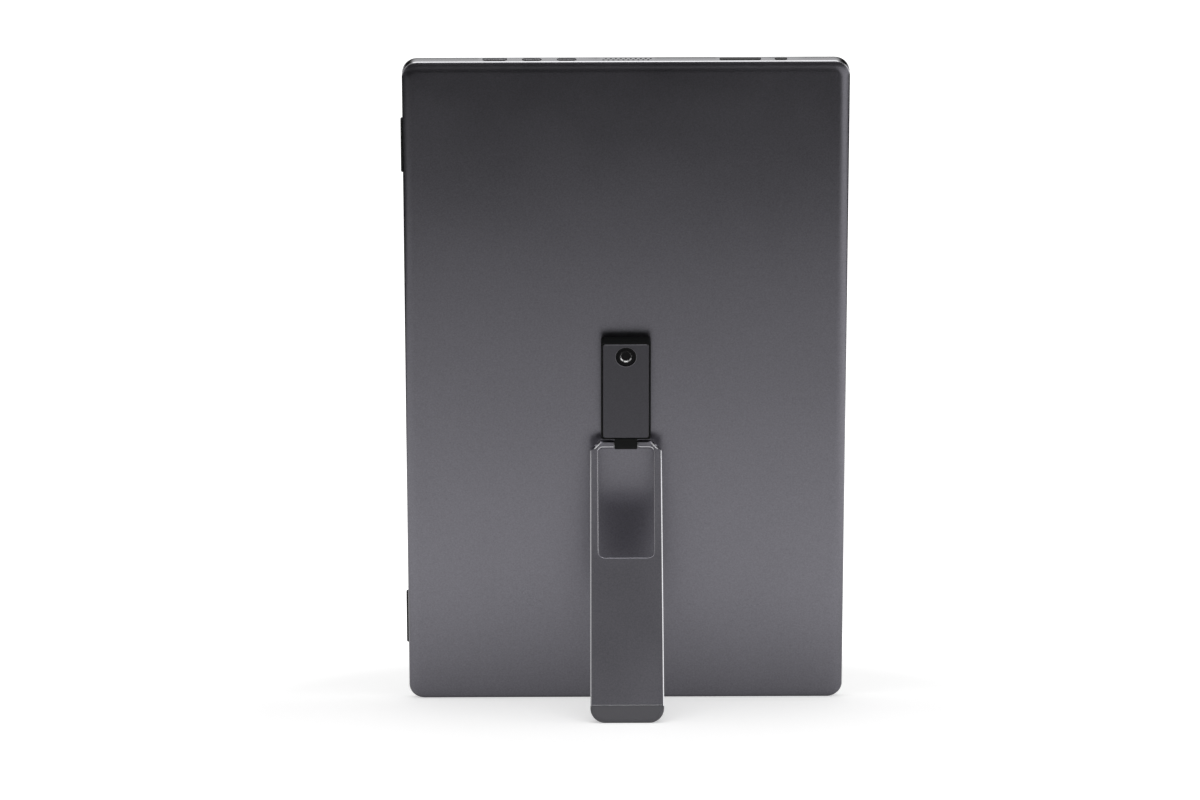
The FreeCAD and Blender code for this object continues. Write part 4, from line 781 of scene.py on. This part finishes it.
def leg_pad():
    """Rubber pad: the foot's outline carried through the thickness, rounded at both faces except along its seam."""
    half, c, deep = leg_half(LEG_END), PAD_CORNER, LEG_T / 2
    turn = np.radians(np.linspace(0, 90, 13))
    corner = np.stack([half - c + c * np.cos(turn), LEG_REACH - c + c * np.sin(turn)], 1)
    side = between((half, LEG_END), (half, LEG_REACH - c), 4)
    sole = between((half - c, LEG_REACH), (0.0, LEG_REACH), 7)[1:]
    seam = between((-half, LEG_END), (half, LEG_END), 13)[1:]
    loop = np.concatenate([mirrored(np.concatenate([side, corner, sole]), (0.0, LEG_REACH)), seam])
    middle = np.array([0.0, (LEG_END + LEG_REACH) / 2])
    normal = side_normals(loop, middle - loop, closed=True)
    weight = np.clip((loop[:, 1] - LEG_END) / PAD_BLEND, 0, 1)[:, None]
    insets, rises = round_edge(PAD_R)
    inset = np.concatenate([[PAD_R + PAD_RING], PAD_R - rises, insets, [PAD_R + PAD_RING]])
    out = np.concatenate([[-deep], insets - deep, deep - PAD_R + rises, [deep]])
    plan = loop[:, None] + normal[:, None] * (inset * weight)[..., None]
    pad = skin("leg_pad_skin", on_leg(plan[..., 0], out, plan[..., 1]), smooth=40)
    dress(pad, "leg", (PAD_LOOK,), "leg_foot_pad")


rear_shell()
front_frame()
cover_glass()
socket("video_socket", video_loop(0.0), video_loop(-SOCKET_WALL), VIDEO_X, VIDEO_TONGUE)
for label, x in zip(("a", "b"), DATA_XS):
    socket("data_socket_" + label, data_loop(x, 0.0), data_loop(x, -SOCKET_WALL), x, DATA_TONGUE)
key("menu_rocker_cap", "menu_rocker", "rocker", ROCKER_X, ROCKER_W)
key("power_button_cap", "power_button", "power_key", POWER_X, POWER_W)
edge_foot("edge_foot_lower_pad", "edge_foot_lower", FOOT_END_GAP)
edge_foot("edge_foot_upper_pad", "edge_foot_upper", PANEL_H - FOOT_END_GAP)
stand_block()
face_plate()
tripod_bush()
leg_frame()
leg_pad()

# Looks of the CAD nodes that show as they are, by material slot
INNER_LOOKS = {
    "thin_metal": metal("plain_sheet_metal", (0.62, 0.62, 0.63), 0.35, 500.0),
    "board": plastic("circuit_board", (0.02, 0.09, 0.05), 0.4, 400.0, spread=0.5),
    "flat_cable": plastic("flat_cable_film", (0.25, 0.12, 0.03), 0.35, 500.0),
    "display_sheet": plastic("display_sheet", (0.015, 0.016, 0.018), 0.25, 500.0),
    "steel": metal("dark_plated_steel", (0.30, 0.30, 0.31), 0.34, 1200.0),
    "mesh_cloth": plastic("fine_black_cloth", (0.01, 0.01, 0.01), 0.85, 4000.0, bump=0.6),
    "black_plastic": FRAME_LOOK,
    "socket_steel": SOCKET_LOOK,
}
for subpart in frame["record"]["subparts"]:
    node = frame["nodes"][subpart["node"]]
    if not node.hide_render:
        node.data.materials.clear()
        node.data.materials.append(INNER_LOOKS[subpart["material_slot"]])

# Studio, in metres and in levels where 1 is white. Each pair of limits is where a level starts and stops to change.
# A card is its left, right, front and rear side, and a lamp its place, aim, width, height and level
FLOOR_REACH, FLOOR_COLOUR = 12.0, (0.85, 0.85, 0.85, 1)
FLOOR_NEAR_FAR, FLOOR_LIFT = (0.18, 0.33), (0.45, 1.0)
# Painted pool of light: a floor glow for mirror rays only, strongest just in front of the panel and rising to the
# right
POOL_RISE, POOL_LIFT = (-0.27, -0.02), (0.0, 0.5)
POOL_FALL, POOL_LEFT = (-0.04, 0.08), (1.0, 0.25)
RIGHT_RISE, RIGHT_LIFT = (0.16, 0.42), (0.0, 0.4)
CARDS = {"front_card": (-1.4, 0.3, -1.8, -0.315), "left_card": (-1.8, -0.42, -0.31, 0.8),
         "right_card": (0.55, 1.8, -0.31, 0.8)}
CARD_HEIGHT, CARD_FADE, CARD_SHADES, CARD_EDGE = 0.002, (0.315, 0.5), (0.3, 0.08), (-0.311, -0.314)
DOME_RISE, DOME_LEVELS = (0.35, 0.65), (0.03, 0.4)
REAR_FROM, REAR_RISE, REAR_LEVELS = (0.3, 0.6), (0.4, 0.6), (0.0, 0.4)
REAR_SIDES, REAR_SIDES_TOP = (0.22, 0.33), (0.75, 0.6)
BEHIND_FROM = (0.955, 0.99)
LAMPS = {
    "overhead_softbox": ((0.0, -0.3, 0.95), (0.0, -0.05, 0.0), 0.8, 0.6, 2.2),
    "front_strip": ((0.0, -0.75, 0.92), (0.0, -0.05, 0.3), 1.1, 0.3, 0.5),
    "left_softbox": ((-1.25, -0.2, 0.5), (0.0, -0.05, 0.2), 1.1, 0.85, 0.5),
    "right_softbox": ((1.25, -0.2, 0.5), (0.0, -0.05, 0.2), 1.1, 0.85, 1.15),
}
CAMERA_PLACE, CAMERA_AIM = Vector((-0.0336, -3.8253, 0.5533)), Vector((-0.0124, 0.05135, 0.15556))
CAMERA_ROLL, CAMERA_LENS, CAMERA_SENSOR, CAMERA_FAR = math.radians(-0.17), 225.5, 36.0, 100.0


def ray_kinds(tree):
    """Masks of camera rays and of rays that came by way of metal or glass."""
    path = tree.nodes.new("ShaderNodeLightPath").outputs
    return path["Is Camera Ray"], math_node(tree, "MAXIMUM", path["Is Glossy Ray"], path["Is Transmission Ray"])


def flat_piece(name, x0, x1, y0, y1, z, material):
    """Level rectangle of the studio."""
    mesh = bpy.data.meshes.new(name)
    mesh.from_pydata([(x0, y0, z), (x1, y0, z), (x1, y1, z), (x0, y1, z)], [], [(0, 1, 2, 3)])
    mesh.materials.append(material)
    piece = place_object(name, mesh)
    return piece


def pale_floor():
    """White floor: a plain surface that keeps shadows, lifted to white for the camera.

    For mirrors it glows as a painted pool of light in front of the panel, brighter on the right, which the back
    shows.
    """
    material, tree = new_material("pale_floor")
    tree.nodes.clear()
    plain = tree.nodes.new("ShaderNodeBsdfDiffuse")
    plain.inputs["Color"].default_value = FLOOR_COLOUR
    camera_ray, mirror_ray = ray_kinds(tree)
    place = coordinates(tree)
    size = tree.nodes.new("ShaderNodeVectorMath")
    size.operation = "LENGTH"
    tree.links.new(place, size.inputs[0])
    lift = product(tree, camera_ray, ramp(tree, size.outputs["Value"], *FLOOR_NEAR_FAR, *FLOOR_LIFT))
    across, depth, _ = parts_of(tree, place)
    # Painted pool of light, seen only by mirror rays: a glow in front of the panel, fainter next to it, plus a glow
    # rising to the right
    pool = product(tree, ramp(tree, depth, *POOL_RISE, *POOL_LIFT), ramp(tree, depth, *POOL_FALL, *POOL_LEFT))
    pool = math_node(tree, "ADD", pool, ramp(tree, across, *RIGHT_RISE, *RIGHT_LIFT))
    glow = tree.nodes.new("ShaderNodeEmission")
    strength = math_node(tree, "ADD", lift, product(tree, mirror_ray, pool))
    tree.links.new(strength, glow.inputs["Strength"])
    both = tree.nodes.new("ShaderNodeAddShader")
    tree.links.new(plain.outputs[0], both.inputs[0])
    tree.links.new(glow.outputs[0], both.inputs[1])
    sink = tree.nodes.new("ShaderNodeOutputMaterial")
    tree.links.new(both.outputs[0], sink.inputs["Surface"])
    flat_piece("floor", -FLOOR_REACH, FLOOR_REACH, -FLOOR_REACH, FLOOR_REACH, 0.0, material)


def dark_cards():
    """Dark cards on the floor, for reflections alone: the camera doesn't see them and they cast no shadow.

    The front card gets darker away from the object, and the ones at the sides are black.
    """
    material, tree = new_material("dark_card")
    shader = tree.nodes["Principled BSDF"]
    depth = parts_of(tree, coordinates(tree))["Y"]
    shade = ramp(tree, math_node(tree, "ABSOLUTE", depth), *CARD_FADE, *CARD_SHADES)
    tree.links.new(product(tree, shade, ramp(tree, depth, *CARD_EDGE)), shader.inputs["Base Color"])
    shader.inputs["Roughness"].default_value = 1.0
    shader.inputs["Specular IOR Level"].default_value = 0.0
    for name, sides in CARDS.items():
        card = flat_piece(name, *sides, CARD_HEIGHT, material)
        card.visible_camera = False
        card.visible_shadow = False


def white_world():
    """White background for the camera; for light, a dim dome that is brighter overhead and high up behind.

    Its sides towards the rear stay dark below a height, which gives the panel's corners their contrast, and straight
    behind it is white for mirrors.
    """
    world = bpy.data.worlds.new("white_studio")
    bpy.context.scene.world = world
    world.use_nodes = True
    tree = world.node_tree
    camera_ray, mirror_ray = ray_kinds(tree)
    aim = parts_of(tree, coordinates(tree, "Generated"))
    rear = ramp(tree, aim["Y"], *REAR_FROM)
    high = product(tree, rear, ramp(tree, aim["Z"], *REAR_RISE, *REAR_LEVELS))
    sides = product(tree, rear, ramp(tree, math_node(tree, "ABSOLUTE", aim["X"]), *REAR_SIDES))
    sides = product(tree, sides, ramp(tree, aim["Z"], *REAR_SIDES_TOP))
    dome = math_node(tree, "ADD", ramp(tree, aim["Z"], *DOME_RISE, *DOME_LEVELS), high)
    dome = product(tree, dome, math_node(tree, "SUBTRACT", 1.0, sides))
    behind = product(tree, mirror_ray, ramp(tree, aim["Y"], *BEHIND_FROM))
    shade = tree.nodes["Background"]
    shade.inputs["Color"].default_value = (1, 1, 1, 1)
    white = math_node(tree, "MAXIMUM", camera_ray, behind)
    tree.links.new(math_node(tree, "MAXIMUM", dome, white), shade.inputs["Strength"])


def lamp(name, place, aim, width, height, level):
    """Soft lamp whose face shines at the given level."""
    data = bpy.data.lights.new(name, "AREA")
    data.shape = "RECTANGLE"
    data.size = width
    data.size_y = height
    data.energy = level * math.pi * width * height
    obj = place_object(name, data)
    obj.location = place
    obj.rotation_euler = (Vector(aim) - Vector(place)).to_track_quat("-Z", "Y").to_euler()


def camera():
    """Long lens at the photograph's angle, turned a little about its own axis."""
    ahead = (CAMERA_AIM - CAMERA_PLACE).normalized()
    level = ahead.cross(Vector((0, 0, 1))).normalized()
    upright = level.cross(ahead)
    right = level * math.cos(CAMERA_ROLL) + upright * math.sin(CAMERA_ROLL)
    top = upright * math.cos(CAMERA_ROLL) - level * math.sin(CAMERA_ROLL)
    data = bpy.data.cameras.new("camera")
    data.lens = CAMERA_LENS
    data.sensor_width = CAMERA_SENSOR
    data.clip_end = CAMERA_FAR
    obj = place_object("camera", data)
    obj.matrix_world = Matrix.Translation(CAMERA_PLACE) @ Matrix((right, top, -ahead)).transposed().to_4x4()
    bpy.context.scene.camera = obj


bpy.context.scene.view_settings.view_transform = "Standard"
pale_floor()
dark_cards()
white_world()
for label, values in LAMPS.items():
    lamp(label, *values)
camera()
